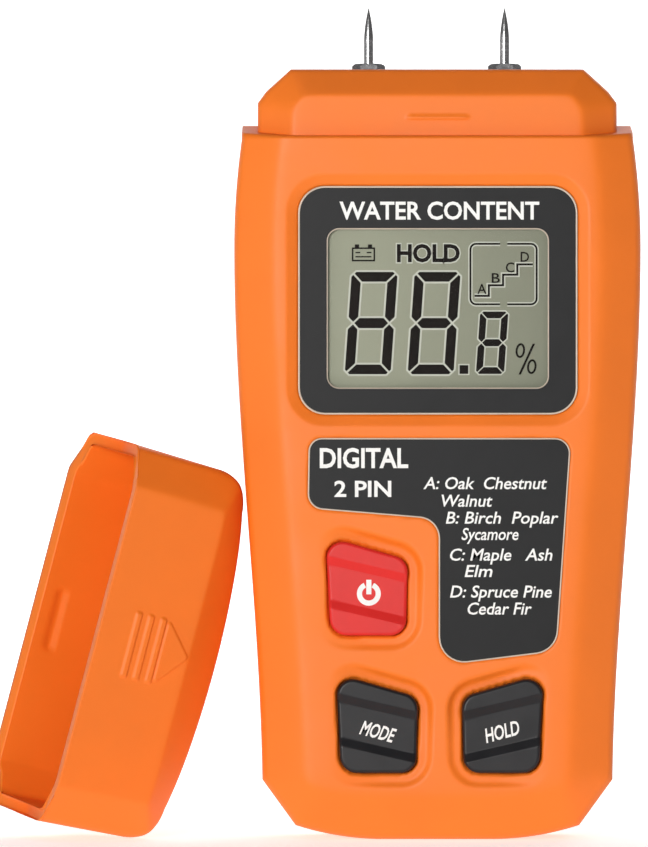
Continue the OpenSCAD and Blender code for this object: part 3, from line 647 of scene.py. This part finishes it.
def mouth_line(grids):
    """The mouth's border of a half skin, from mid-depth on the left round to the right."""
    g, left, right, _ = grids
    return np.concatenate([left[::-1, 0][:-1], g[0], right[1:, 0]])


def arrow_relief(x, z):
    """Three bars and an arrowhead outline, each 1 where it stands out."""
    out = np.zeros(x.shape)
    for i in range(3):
        bar = ease((5.6 - np.abs(x)) / 0.3) * ease((0.62 - np.abs(z - 3.9 - 2.3 * i)) / 0.24)
        out = np.maximum(out, bar)
    tri = rounded([[-5.6, 9.4, 0.4], [5.6, 9.4, 0.4], [0, 14.6, 0.6]], 4)
    d = polygon_distance(x, z, tri)
    return np.maximum(out, 0.8 * ease(-(d - 0.1) / 0.25))


def build_cap():
    """Both halves of the cap, outer and inner skins, joined along the mouth and leant over."""
    c = case_sizes()
    grids = []
    for way in (-1, 1):
        outer = cap_half(c, way, False, *((300, 130) if way < 0 else (120, 56)))
        grids += outer
        inner = cap_half(c, way, True, len(outer[0][0]), 40)
        grids += inner
        a, b = mouth_line(outer), mouth_line(inner)
        grids.append(np.stack([a, (a * 3 + b) / 4, (a + b * 3) / 4, b]))
    pts, faces = join_grids(grids)
    turned = cap_turned(pts)
    lo, hi = node_box("cap")
    place = (lo + hi) / 2 - (turned.min(0) + turned.max(0)) / 2
    return put_mesh("cap_body", turned + place, faces, merge=0.004)


# ---------------------------------------------------------------- keys


def fine_outline(o, step):
    """The same closed outline with points no further apart than the step."""
    out = []
    for a, b in zip(o, np.roll(o, -1, 0)):
        n = max(1, int(math.ceil(np.hypot(*(b - a)) / step)))
        out.append(a + (b - a) * np.linspace(0, 1, n, endpoint=False)[:, None])
    return np.concatenate(out)


def build_key(name, cx, cz, side):
    """Rubber key: rings shrink from its outline to its middle; the depth is a soft pillow with a
    sunk band between two slanted ramps, and the skirt runs back into the case."""
    k = bpy.context.scene.meter_keys
    out = fine_outline(key_outline(cx, cz, side, 12), 0.28)
    mid = out.mean(0)
    rings = np.concatenate([np.linspace(0, 0.84, 60), np.linspace(0.84, 1, 20)[1:]])
    x = mid[0] + (out[None, :, 0] - mid[0]) * rings[:, None]
    z = mid[1] + (out[None, :, 1] - mid[1]) * rings[:, None]
    d = -polygon_distance(x, z, out)
    top = FACE_Y - k.proud / MM
    a = math.radians(-13 * side)
    v = -(x - cx) * math.sin(a) + (z - cz + 0.4) * math.cos(a)
    band = np.clip((4.15 - np.abs(v)) / 1.35, 0, 1)
    y = top + k.band / MM * band + edge_round(d, 0.55)
    g = np.stack([x, y, z], -1)
    skirt = [g[-1]]
    for depth in (0.3, 1.0, 1.9, 2.9):
        r = g[-1].copy()
        r[:, 1] = np.maximum(g[-1][:, 1], top + 0.5 + depth)
        skirt.append(r)
    last = skirt[-1].copy()
    last[:, 0], last[:, 2] = mid[0], mid[1]
    skirt.append(last)
    grids = [np.concatenate([q, q[:, :1]], 1) for q in (g, np.stack(skirt))]
    pts, faces = join_grids(grids)
    return put_mesh(name + "_key_cap", pts, faces, merge=0.001)


def band_depth():
    """Depth of the floor of the sunk band across a key."""
    k = bpy.context.scene.meter_keys
    return FACE_Y - k.proud / MM + k.band / MM


# ---------------------------------------------------------------- materials


def new_material(name):
    """An empty material and its shader."""
    m = bpy.data.materials.new(name)
    m.use_nodes = True
    m.node_tree.nodes.clear()
    out = m.node_tree.nodes.new("ShaderNodeOutputMaterial")
    sh = m.node_tree.nodes.new("ShaderNodeBsdfPrincipled")
    m.node_tree.links.new(sh.outputs[0], out.inputs[0])
    return m, sh


def add_node(m, kind, **inputs):
    """A node with the values of its inputs set."""
    n = m.node_tree.nodes.new(kind)
    for k, v in inputs.items():
        n.inputs[k.replace("_", " ")].default_value = v
    return n


def link(m, a, b):
    """Joins an output to an input."""
    m.node_tree.links.new(a, b)


def finish(name, rgb, rough, grain_mm=0.35, grain=0.15, mottle=0.04, patch_mm=9.0, metallic=0.0,
           rough_span=0.10, coat=0.0, stretch=None, specular=0.5):
    """A finish with three parts: broad mottling of its colour, a roughness that drifts with it,
    and a fine grain in relief. Grain and patches are given by their size in millimetres."""
    m, sh = new_material(name)
    co = m.node_tree.nodes.new("ShaderNodeTexCoord")
    src = co.outputs["Object"]
    if stretch:
        mp = m.node_tree.nodes.new("ShaderNodeMapping")
        mp.inputs["Scale"].default_value = stretch
        link(m, src, mp.inputs["Vector"])
        src = mp.outputs["Vector"]
    broad = add_node(m, "ShaderNodeTexNoise", Scale=1000 / patch_mm, Detail=4.0, Roughness=0.55)
    fine = add_node(m, "ShaderNodeTexNoise", Scale=1000 / grain_mm, Detail=3.0, Roughness=0.6)
    link(m, src, broad.inputs["Vector"])
    link(m, src, fine.inputs["Vector"])
    ramp = m.node_tree.nodes.new("ShaderNodeValToRGB")
    lo = [max(0.0, v * (1 - mottle)) for v in rgb]
    hi = [min(1.0, v * (1 + mottle)) for v in rgb]
    ramp.color_ramp.elements[0].position, ramp.color_ramp.elements[0].color = 0.3, (*lo, 1)
    ramp.color_ramp.elements[1].position, ramp.color_ramp.elements[1].color = 0.7, (*hi, 1)
    link(m, broad.outputs["Fac"], ramp.inputs["Fac"])
    link(m, ramp.outputs["Color"], sh.inputs["Base Color"])
    span = m.node_tree.nodes.new("ShaderNodeMapRange")
    span.inputs["From Min"].default_value, span.inputs["From Max"].default_value = 0.3, 0.7
    span.inputs["To Min"].default_value = max(0.02, rough - rough_span / 2)
    span.inputs["To Max"].default_value = rough + rough_span / 2
    link(m, broad.outputs["Fac"], span.inputs["Value"])
    link(m, span.outputs["Result"], sh.inputs["Roughness"])
    bump = m.node_tree.nodes.new("ShaderNodeBump")
    bump.inputs["Strength"].default_value = grain
    bump.inputs["Distance"].default_value = grain_mm * MM * 0.25
    link(m, fine.outputs["Fac"], bump.inputs["Height"])
    link(m, bump.outputs["Normal"], sh.inputs["Normal"])
    sh.inputs["Metallic"].default_value = metallic
    sh.inputs["IOR"].default_value = PLASTIC_IOR
    sh.inputs["Specular IOR Level"].default_value = specular
    if coat:
        sh.inputs["Coat Weight"].default_value = coat
        sh.inputs["Coat Roughness"].default_value = 0.08
    return m


def dress(ob, material):
    """Gives an object one material in every slot it has."""
    if not ob.material_slots:
        ob.data.materials.append(material)
    for s in ob.material_slots:
        s.material = material
    return ob


def clear_window():
    """Clear acrylic: mostly see-through, with a polished face."""
    m = finish("clear_acrylic", (0.04, 0.045, 0.04), 0.06, 0.8, 0.02, 0.01, 20, rough_span=0.03)
    sh = next(n for n in m.node_tree.nodes if n.type == "BSDF_PRINCIPLED")
    sh.inputs["Alpha"].default_value = 0.05
    return m


def display_backing(rgb):
    """Display glass: grey-green, with painted light paler towards its left and middle and painted
    shade darker at its right border.
    """
    m = finish("display_glass", rgb, 0.5, 0.12, 0.04, 0.02, 14, rough_span=0.06, specular=0.12)
    nodes = m.node_tree.nodes
    sh = next(n for n in nodes if n.type == "BSDF_PRINCIPLED")
    ramp = next(n for n in nodes if n.type == "VALTORGB")
    co = next(n for n in nodes if n.type == "TEX_COORD")
    split = nodes.new("ShaderNodeSeparateXYZ")
    link(m, co.outputs["Object"], split.inputs["Vector"])
    # painted light and shade: the glass colour is scaled from 1.10 at the left to 0.80 at the right
    span = nodes.new("ShaderNodeMapRange")
    span.interpolation_type = "SMOOTHSTEP"
    span.inputs["From Min"].default_value = -0.018
    span.inputs["From Max"].default_value = 0.021
    span.inputs["To Min"].default_value, span.inputs["To Max"].default_value = 1.10, 0.80
    link(m, split.outputs["X"], span.inputs["Value"])
    painted_light_colour = nodes.new("ShaderNodeVectorMath")
    painted_light_colour.operation = "SCALE"
    link(m, ramp.outputs["Color"], painted_light_colour.inputs[0])
    link(m, span.outputs["Result"], painted_light_colour.inputs["Scale"])
    link(m, painted_light_colour.outputs["Vector"], sh.inputs["Base Color"])
    return m


# ---------------------------------------------------------------- display marks


def inset_outline(o, g):
    """Outline with every edge moved in by g and the corners where moved edges meet."""
    o = np.asarray(o, float)
    area = np.sum(o[:, 0] * np.roll(o[:, 1], -1) - np.roll(o[:, 0], -1) * o[:, 1])
    if area < 0:
        o = o[::-1]
    e = np.roll(o, -1, 0) - o
    n = np.stack([-e[:, 1], e[:, 0]], 1) / np.hypot(e[:, 0], e[:, 1])[:, None]
    c = np.sum(n * (o + n * g), 1)
    out = []
    for i in range(len(o)):
        a = np.array([n[i - 1], n[i]])
        out.append(np.linalg.solve(a, [c[i - 1], c[i]]))
    return np.array(out)


def digit(x, z, w, h, t, slant=4.0, grow=0.0, gap=0.15):
    """The seven segments of an 8: mitred bars with pinched middles, leaning to the right."""
    c, m, k, q = 0.45 * t, h / 2, 0.52 * t, 0.5 * t
    top = [(c, h), (w - c, h), (w - c / 2, h - c / 2), (w - t, h - t), (t, h - t),
           (c / 2, h - c / 2)]
    up_left = [(0, h - c), (c / 2, h - c / 2), (t, h - t), (t, m + k), (q, m), (0, m + q)]
    mid = [(q, m), (t, m + k), (w - t, m + k), (w - q, m), (w - t, m - k), (t, m - k)]

    def flip_z(p):
        return [(a, h - b) for a, b in p]

    def flip_x(p):
        return [(w - a, b) for a, b in p]

    lean = math.tan(math.radians(slant))
    out = []
    for p in (top, flip_z(top), up_left, flip_z(up_left), flip_x(up_left),
              flip_x(flip_z(up_left)), mid):
        o = inset_outline(p, gap - grow)
        out.append(np.stack([x + o[:, 0] + lean * o[:, 1], z + o[:, 1]], 1))
    return out


def stroke(points, w):
    """Band of width w along a polyline, mitred at its bends."""
    p = np.asarray(points, float)
    d = np.diff(p, axis=0)
    d /= np.hypot(d[:, 0], d[:, 1])[:, None]
    n = np.stack([-d[:, 1], d[:, 0]], 1)
    m = np.concatenate([n[:1], n[:-1] + n[1:], n[-1:]])
    k = np.concatenate([[1.0], 2 / np.sum(m[1:-1] ** 2, 1) if len(m) > 2 else [], [1.0]])
    m = m * k[:, None]
    return np.concatenate([p + m * w / 2, (p - m * w / 2)[::-1]])


def bar(x0, z0, x1, z1):
    """Outline of an upright bar between two corners."""
    return np.array([[x0, z0], [x1, z0], [x1, z1], [x0, z1]])


def display_marks():
    """Outlines of the display's dark marks, and the same a little larger for their pale edges."""
    dark, pale = [], []
    for x in (-15.55, -5.15):
        dark += digit(x, 76.9, 7.9, 17.2, 1.9)
        pale += digit(x, 76.9, 7.9, 17.2, 1.9, grow=0.3)
    dark += digit(6.2, 77.0, 4.85, 10.5, 1.3, gap=0.09)
    pale += digit(6.2, 77.0, 4.85, 10.5, 1.3, grow=0.22, gap=0.09)
    dark.append(bar(3.6, 77.1, 5.05, 78.55))
    pale.append(bar(3.4, 76.9, 5.25, 78.75))
    # battery sign
    x0, x1, z0, z1 = -14.2, -10.35, 95.7, 98.0
    for q in (bar(x0, z0, x0 + 0.26, z1), bar(x1 - 0.26, z0, x1, z1), bar(x0, z0, x1, z0 + 0.26),
              bar(x0, z1 - 0.26, x1, z1), bar(x0 + 0.5, z1, x0 + 1.2, z1 + 0.5),
              bar(x1 - 1.2, z1, x1 - 0.5, z1 + 0.5), bar(x0 + 0.6, 97.05, x0 + 1.4, 97.27),
              bar(x1 - 1.4, 97.05, x1 - 0.6, 97.27), bar(x0 + 0.6, 96.35, x1 - 0.6, 96.57)):
        dark.append(q)
    # box of the group chart, open in the middle of its top and bottom
    l, r, b, t, k = 5.4, 16.35, 88.6, 98.6, 0.95
    arc = np.radians(np.linspace(0, 90, 7))

    def corner(cx, cz, a0):
        return np.stack([cx + k * np.cos(arc + a0), cz + k * np.sin(arc + a0)], 1)

    q = math.pi / 2
    left = np.concatenate([[[10.3, t]], corner(l + k, t - k, q), corner(l + k, b + k, 2 * q),
                           [[10.3, b]]])
    right = np.concatenate([[[11.5, b]], corner(r - k, b + k, 3 * q), corner(r - k, t - k, 0),
                            [[11.5, t]]])
    for line in (left, right):
        dark.append(stroke(line, 0.32))
        pale.append(stroke(line, 0.72))
    steps = [[6.1, 90.0], [8.45, 90.0], [8.45, 91.75], [10.8, 91.75], [10.8, 93.5],
             [13.15, 93.5], [13.15, 95.2], [15.7, 95.2]]
    dark.append(stroke(steps, 0.34))
    pale.append(stroke(steps, 0.78))
    # per cent sign
    for cx, cz in ((13.65, 80.95), (15.55, 78.3)):
        a = np.radians(np.arange(0, 360, 15))
        dark += [stroke(np.stack([cx + 0.62 * np.cos(s) + 0.07 * np.sin(s) * 1.2,
                                  cz + 1.05 * np.sin(s)], 1), 0.34)
                 for s in (a[:13], np.append(a[12:], 2 * math.pi))]
    dark.append(np.array([[13.35, 77.0], [13.75, 77.0], [16.1, 82.1], [15.7, 82.1]]))
    return dark, pale


# ---------------------------------------------------------------- operators


def settings_colour(name):
    """A colour from the settings."""
    return tuple(getattr(bpy.context.scene.meter_colours, name))


# each finish: its name, its colour or the setting that holds it, then roughness, grain size,
# grain, mottle, patch size, metallic and roughness span, and anything more by name
FINISHES = {
    "shell": ("moulded_shell", "shell", (0.50, 0.30, 0.09, 0.03, 14), {"specular": 0.42}),
    "plate": ("matt_plate", "plate", (0.40, 0.16, 0.10, 0.10, 7), {"specular": 0.22}),
    "segment": ("segment", "segment", (0.5, 0.2, 0.03, 0.2, 3), {"specular": 0.08}),
    "ghost": ("pale_edge", (0.62, 0.64, 0.55), (0.5, 0.2, 0.03, 0.04, 3), {}),
    "power": ("power_rubber", "power", (0.42, 0.22, 0.08, 0.04, 5), {"specular": 0.35}),
    "rubber": ("key_rubber", "rubber", (0.38, 0.22, 0.08, 0.12, 5), {"specular": 0.35}),
    "print": ("white_print", "print", (0.55, 0.15, 0.08, 0.04, 2), {}),
    # the pale edge finish is a painted highlight: light caught along the edges of plate, window and
    # legend
    "edge": ("pale_moulded_edge", (0.60, 0.50, 0.40), (0.35, 0.2, 0.05, 0.08, 4), {}),
    "steel": ("pin_steel", (0.55, 0.55, 0.56), (0.22, 0.10, 0.10, 0.06, 3, 1.0, 0.10),
              {"stretch": (1, 1, 6)}),
    "chrome": ("nut_chrome", (0.66, 0.66, 0.68), (0.16, 0.3, 0.05, 0.05, 2, 1.0, 0.08), {}),
    "screw": ("zinc_screw", (0.50, 0.50, 0.50), (0.33, 0.12, 0.2, 0.10, 1.5, 1.0, 0.14), {}),
    "brass": ("turned_brass", (0.62, 0.42, 0.14), (0.30, 0.2, 0.1, 0.08, 3, 1.0), {}),
    "board": ("solder_mask", (0.02, 0.14, 0.05), (0.35, 0.6, 0.1, 0.15, 5), {}),
    "white": ("white_moulding", (0.72, 0.72, 0.68), (0.5, 0.3, 0.1, 0.04, 8), {}),
    "black": ("black_moulding", (0.02, 0.02, 0.021), (0.45, 0.25, 0.12, 0.12, 5), {}),
    "ceramic": ("ceramic_chip", (0.36, 0.25, 0.14), (0.55, 0.15, 0.15, 0.1, 1), {}),
    "jacket": ("battery_jacket", (0.02, 0.035, 0.10), (0.28, 0.5, 0.04, 0.08, 9, 0.2),
               {"coat": 0.4}),
    "red_wire": ("red_insulation", (0.5, 0.02, 0.015), (0.4, 0.2, 0.1, 0.06, 3), {}),
    "black_wire": ("black_insulation", (0.02, 0.02, 0.02), (0.4, 0.2, 0.1, 0.1, 3), {}),
    "silicone": ("dark_silicone", (0.04, 0.04, 0.04), (0.6, 0.2, 0.1, 0.1, 3), {}),
}
_made = {}


def material(name):
    """The finish of that name, made once."""
    if name in _made:
        return _made[name]
    if name == "glass":
        made = display_backing(settings_colour("glass"))
    elif name == "window":
        made = clear_window()
    else:
        title, rgb, numbers, more = FINISHES[name]
        made = finish(title, settings_colour(rgb) if isinstance(rgb, str) else rgb, *numbers, **more)
    _made[name] = made
    return made


SLOT_FINISH = {
    "orange_shell": "shell", "orange_cap": "shell", "black_plate": "plate",
    "clear_window": "window", "lcd": "glass", "white_plastic": "white", "dark_rubber": "silicone",
    "board_green": "board", "black_plastic": "black", "tan_chips": "ceramic", "red_key": "power",
    "black_key": "rubber", "switch_metal": "screw", "battery_can": "jacket", "nickel": "chrome",
    "red_wire": "red_wire", "black_wire": "black_wire", "pin_steel": "steel",
    "nut_chrome": "chrome", "socket_brass": "brass", "screw_steel": "screw",
}


class METER_OT_finishes(bpy.types.Operator):
    """Gives every frame node the finish of its slot"""

    bl_idname = "meter.finishes"
    bl_label = "Frame finishes"

    def execute(self, context):
        for part in frame["record"]["subparts"]:
            dress(NODES[part["node"]], material(SLOT_FINISH[part["material_slot"]]))
        return {"FINISHED"}


class METER_OT_case(bpy.types.Operator):
    """Makes the front and back halves of the case"""

    bl_idname = "meter.case"
    bl_label = "Case"

    def execute(self, context):
        front = join_case("case_front", -1, 220, 320, 150, 70)
        close_border(front)
        back = join_case("case_back", 1, 150, 250, 80, 30)
        thick = back.modifiers.new("wall", "SOLIDIFY")
        thick.thickness, thick.offset = 1.2 * MM, -1
        for ob, node in ((front, "front_housing"), (back, "back_housing")):
            dress(ob, material("shell"))
            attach(ob, "meter")
            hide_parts(node)
        return {"FINISHED"}


class METER_OT_cap(bpy.types.Operator):
    """Makes the pin cap, leaning beside the case"""

    bl_idname = "meter.cap"
    bl_label = "Cap"

    def execute(self, context):
        ob = dress(build_cap(), material("shell"))
        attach(ob, "pin_cap")
        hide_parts("cap")
        return {"FINISHED"}


class METER_OT_keys(bpy.types.Operator):
    """Makes the three keys with their printed signs"""

    bl_idname = "meter.keys"
    bl_label = "Keys"

    def execute(self, context):
        for name, cx, cz, side in key_spots():
            ob = build_key(name, cx, cz, side)
            dress(ob, material("power" if name == "power" else "rubber"))
            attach(ob, name)
            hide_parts(name + "_key")
            y = band_depth() - 0.03
            if name == "power":
                a = np.radians(np.linspace(115, 425, 40))
                px, pz = cx + 0.3, cz - 0.9
                ring = stroke(np.stack([px + 1.55 * np.cos(a), pz + 1.55 * np.sin(a)], 1), 0.85)
                stem = bar(px - 0.42, pz - 0.1, px + 0.42, pz + 2.3)
                sign = flat_solid("power_sign", [ring, stem], y, 0.12)
            else:
                sign = lettering(name + "_sign",
                                 [(name.upper(), cx + 0.15 * side, cz - 0.9, 2.4, 5.9,
                                   -15.0 * side, True, 0.02)], y, 0.12, 0.25)
            dress(sign, material("print"))
            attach(sign, name)
        return {"FINISHED"}


class METER_OT_display(bpy.types.Operator):
    """Makes the display's marks and the heading on its plate"""

    bl_idname = "meter.display"
    bl_label = "Display"

    def execute(self, context):
        y = GLASS_LO[1]
        dark, pale = display_marks()
        marks = flat_solid("display_segments", dark, y - 0.034, 0.03)
        edges = flat_solid("display_pale_edges", pale, y - 0.014, 0.01)
        words = lettering("display_words", [
            ("HOLD", -1.55, 97.15, 2.9, 10.4, 0, True, 0.035),
            ("A", 7.3, 91.2, 1.7, 1.5, 0, True, 0.01), ("B", 9.6, 93.0, 1.7, 1.35, 0, True, 0.01),
            ("C", 11.95, 94.75, 1.7, 1.4, 0, True, 0.01), ("D", 14.4, 96.5, 1.7, 1.4, 0, True, 0.01),
        ], y - 0.035, 0.03)
        around = lettering("display_words_edge", [
            ("HOLD", -1.55, 97.15, 3.0, 10.8, 0, True, 0.075)], y - 0.02, 0.015)
        heading = lettering("heading_words", [
            ("WATER CONTENT", 0.25, 104.15, 3.0, 33.0, 0, True, 0.02)], PLATE_LO[1] - 0.03, 0.05)
        cx, cz = (PLATE_LO[0] + PLATE_HI[0]) / 2, (PLATE_LO[2] + PLATE_HI[2]) / 2
        w, h = PLATE_HI[0] - PLATE_LO[0], PLATE_HI[2] - PLATE_LO[2]
        # pale bead round the display plate: a painted highlight along its edge
        rim = edge_bead("plate_edge", rect(cx, cz, w - 0.25, h - 0.25, 4.3, 10), PLATE_LO[1], 0.15)
        border = rect(0, (WINDOW_LO[2] + WINDOW_HI[2]) / 2, WINDOW_HI[0] * 2 - 0.15,
                      WINDOW_HI[2] - WINDOW_LO[2] - 0.15, 2.0, 8)
        # pale bead round the window: a painted highlight along its edge
        window_highlight_bead = edge_bead("window_edge", border, WINDOW_LO[1] - 0.02, 0.11)
        for ob, m in ((marks, "segment"), (edges, "ghost"), (words, "segment"), (around, "ghost"),
                      (rim, "edge"), (window_highlight_bead, "edge"), (heading, "print")):
            dress(ob, material(m))
            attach(ob, "meter")
        return {"FINISHED"}


class METER_OT_legend(bpy.types.Operator):
    """Makes the printed words on the legend plate"""

    bl_idname = "meter.legend"
    bl_label = "Legend"

    def execute(self, context):
        top = LEGEND_HI[2]
        rows = [("A: Oak  Chestnut", -2.4, 58.1, 20.4), ("Walnut", 0.6, 55.2, 8.4),
                ("B: Birch  Poplar", 1.3, 52.4, 18.6), ("Sycamore", 3.9, 49.7, 9.4),
                ("C: Maple   Ash", 2.0, 46.3, 16.9), ("Elm", 4.4, 43.6, 4.6),
                ("D: Spruce Pine", 2.0, 40.2, 16.8), ("Cedar Fir", 4.9, 37.4, 10.6)]
        lines = [(w, x, z + top - 66.5, 2.05, wide, 0, False, 0.012) for w, x, z, wide in rows]
        small = lettering("legend_words", lines, LEGEND_LO[1] - 0.025, 0.05, 0.2)
        big = lettering("legend_heading", [
            ("DIGITAL", -12.2, top - 3.2, 3.3, 14.6, 0, True, 0.025),
            ("2 PIN", -12.4, top - 8.3, 2.7, 9.4, 0, True, 0.02)], LEGEND_LO[1] - 0.025, 0.05)
        # pale bead round the legend plate: a painted highlight along its edge
        rim = edge_bead("legend_edge", inset_outline(legend_outline(), 0.1), LEGEND_LO[1], 0.12)
        for ob in (small, big, rim):
            dress(ob, material("edge" if ob is rim else "print"))
            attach(ob, "meter")
        return {"FINISHED"}


class METER_OT_pins(bpy.types.Operator):
    """Makes the two electrode pins as turned shapes with drawn points"""

    bl_idname = "meter.pins"
    bl_label = "Pins"

    def execute(self, context):
        for side in ("left", "right"):
            node = "electrode_pin_" + side
            lo, hi = node_box(node)
            n_hi = node_box("pin_nut_" + side)[1]
            r, x = (hi[0] - lo[0]) / 2, (lo[0] + hi[0]) / 2
            zs = n_hi[2] + 4.0
            u = np.linspace(0, 1, 40)
            z = np.concatenate([[lo[2], lo[2] + 0.2], np.linspace(n_hi[2], zs, 6),
                                zs + (hi[2] - zs) * u])
            rad = np.concatenate([[0, r - 0.06], np.full(6, r), r * (1 - u ** 1.7)])
            a = np.linspace(0, 2 * math.pi, 49)
            g = np.stack([x + rad[:, None] * np.cos(a), rad[:, None] * np.sin(a),
                          np.broadcast_to(z[:, None], (len(z), 49))], -1)
            pts, faces = join_grids([g])
            ob = dress(put_mesh("pin_" + side, pts, faces, merge=0.0005), material("steel"))
            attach(ob, "meter")
            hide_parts(node)
        return {"FINISHED"}


class METER_OT_door(bpy.types.Operator):
    """Makes the grip ribs on the battery door"""

    bl_idname = "meter.door"
    bl_label = "Door grip"

    def execute(self, context):
        y0, top = DOOR_HI[1] - 0.2, DOOR_HI[2]
        grids = []
        for i in range(6):
            half = 7.5 - 0.55 * i
            u = np.linspace(0, 1, 33)
            a = np.linspace(0, 2 * math.pi, 25)
            r = 0.5 * np.sqrt(np.clip(1 - (2 * u - 1) ** 12, 0, 1))
            cx = half * (2 * u - 1)
            grids.append(np.stack([
                np.broadcast_to(cx[:, None], (33, 25)),
                y0 + 0.5 * r[:, None] + r[:, None] * np.cos(a),
                top - 6 - 1.9 * i + r[:, None] * np.sin(a)], -1))
        pts, faces = join_grids(grids)
        ob = dress(put_mesh("door_grip", pts, faces, merge=0.0005), material("shell"))
        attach(ob, "door")
        return {"FINISHED"}


class METER_OT_stage(bpy.types.Operator):
    """Makes the floor and backdrop, the lights and the camera"""

    bl_idname = "meter.stage"
    bl_label = "Stage"

    def execute(self, context):
        s = np.linspace(0, 1, 24)
        a = s * math.pi / 2
        prof = np.concatenate([[[-3.4, 0.0]], np.stack([2.4 + np.sin(a), 1 - np.cos(a)], 1),
                               [[3.4, 3.4]]])
        x = np.linspace(-3.4, 3.4, 12)
        g = np.stack([np.broadcast_to(x, (len(prof), 12)),
                      np.broadcast_to(prof[:, :1], (len(prof), 12)),
                      np.broadcast_to(prof[:, 1:] - 0.00005, (len(prof), 12))], -1) / MM
        pts, faces = join_grids([g])
        ob = put_mesh("studio_sweep", pts, faces)
        paper = finish("studio_paper", (0.96, 0.96, 0.955), 0.75, 0.6, 0.03, 0.008, 300)
        sh = next(n for n in paper.node_tree.nodes if n.type == "BSDF_PRINCIPLED")
        # the paper glows: painted light, its strength rising from 0.40 in front of the meter to 0.98
        # behind it
        sh.inputs["Emission Color"].default_value = (1, 1, 1, 1)
        co = next(n for n in paper.node_tree.nodes if n.type == "TEX_COORD")
        split = paper.node_tree.nodes.new("ShaderNodeSeparateXYZ")
        link(paper, co.outputs["Object"], split.inputs["Vector"])
        span = paper.node_tree.nodes.new("ShaderNodeMapRange")
        span.inputs["From Min"].default_value, span.inputs["From Max"].default_value = -0.10, 0.25
        span.inputs["To Min"].default_value, span.inputs["To Max"].default_value = 0.40, 0.98
        link(paper, split.outputs["Y"], span.inputs["Value"])
        link(paper, span.outputs["Result"], sh.inputs["Emission Strength"])
        dress(ob, paper)
        for name, loc, aim, size, power, tint in (
            ("front_left", (-0.50, -1.6, 0.24), (0, 0, 0.075), 0.42, 17.2, (1, 0.985, 0.965)),
            ("low_left", (-1.2, -0.7, 0.12), (0, 0, 0.06), 0.5, 0.9, (1, 0.99, 0.98)),
            ("overhead", (-0.3, -0.3, 1.2), (0, 0.1, 0), 0.7, 0.4, (1, 1, 1)),
            ("behind", (0.7, 1.7, 1.0), (0, 0, 0.06), 0.8, 7, (1, 1, 1)),
        ):
            li = bpy.data.lights.new(name, "AREA")
            li.shape, li.size, li.energy, li.color = "SQUARE", size, power, tint
            o = bpy.data.objects.new(name, li)
            context.scene.collection.objects.link(o)
            o.location = loc
            o.rotation_euler = (Vector(aim) - Vector(loc)).to_track_quat("-Z", "Y").to_euler()
        world = bpy.data.worlds.new("studio")
        context.scene.world = world
        world.use_nodes = True
        bg = world.node_tree.nodes["Background"]
        bg.inputs[0].default_value = (1, 1, 1, 1)
        bg.inputs[1].default_value = 0.13
        cam = bpy.data.cameras.new("camera")
        cam.sensor_width = 36
        away = 1.20
        cam.lens = 36 * (away - 0.014) / 0.1398
        cam.clip_start, cam.clip_end = 0.05, 20
        o = bpy.data.objects.new("camera", cam)
        context.scene.collection.objects.link(o)
        o.location = (-0.0188, -away, 0.0689)
        o.rotation_euler = (math.radians(90), 0, 0)
        context.scene.camera = o
        context.scene.view_settings.view_transform = "Standard"
        return {"FINISHED"}


class METER_PT_panel(bpy.types.Panel):
    """Lists the pieces of the meter"""

    bl_label = "Moisture meter"
    bl_idname = "METER_PT_panel"
    bl_space_type = "VIEW_3D"
    bl_region_type = "UI"
    bl_category = "Meter"

    def draw(self, context):
        col = self.layout.column()
        for op in OPERATORS:
            col.operator(op.bl_idname)
        for group in ("meter_case", "meter_keys", "meter_colours"):
            box = self.layout.box()
            settings = getattr(context.scene, group)
            for name in settings.bl_rna.properties.keys():
                if name not in ("rna_type", "name"):
                    box.prop(settings, name)


OPERATORS = (METER_OT_finishes, METER_OT_case, METER_OT_cap, METER_OT_keys, METER_OT_display,
             METER_OT_legend, METER_OT_pins, METER_OT_door, METER_OT_stage)
GROUPS = (("meter_case", MeterCaseSettings), ("meter_keys", MeterKeySettings),
          ("meter_colours", MeterColours))


def register():
    """Registers the settings, the operators and the panel."""
    for name, cls in GROUPS:
        bpy.utils.register_class(cls)
        setattr(bpy.types.Scene, name, PointerProperty(type=cls))
    for cls in OPERATORS + (METER_PT_panel,):
        bpy.utils.register_class(cls)


def unregister():
    """Undoes register."""
    for cls in (METER_PT_panel,) + OPERATORS[::-1]:
        bpy.utils.unregister_class(cls)
    for name, cls in GROUPS[::-1]:
        delattr(bpy.types.Scene, name)
        bpy.utils.unregister_class(cls)


def main():
    register()
    bpy.ops.meter.finishes()
    bpy.ops.meter.case()
    bpy.ops.meter.cap()
    bpy.ops.meter.keys()
    bpy.ops.meter.display()
    bpy.ops.meter.legend()
    bpy.ops.meter.pins()
    bpy.ops.meter.door()
    bpy.ops.meter.stage()


if __name__ == "__main__":
    main()
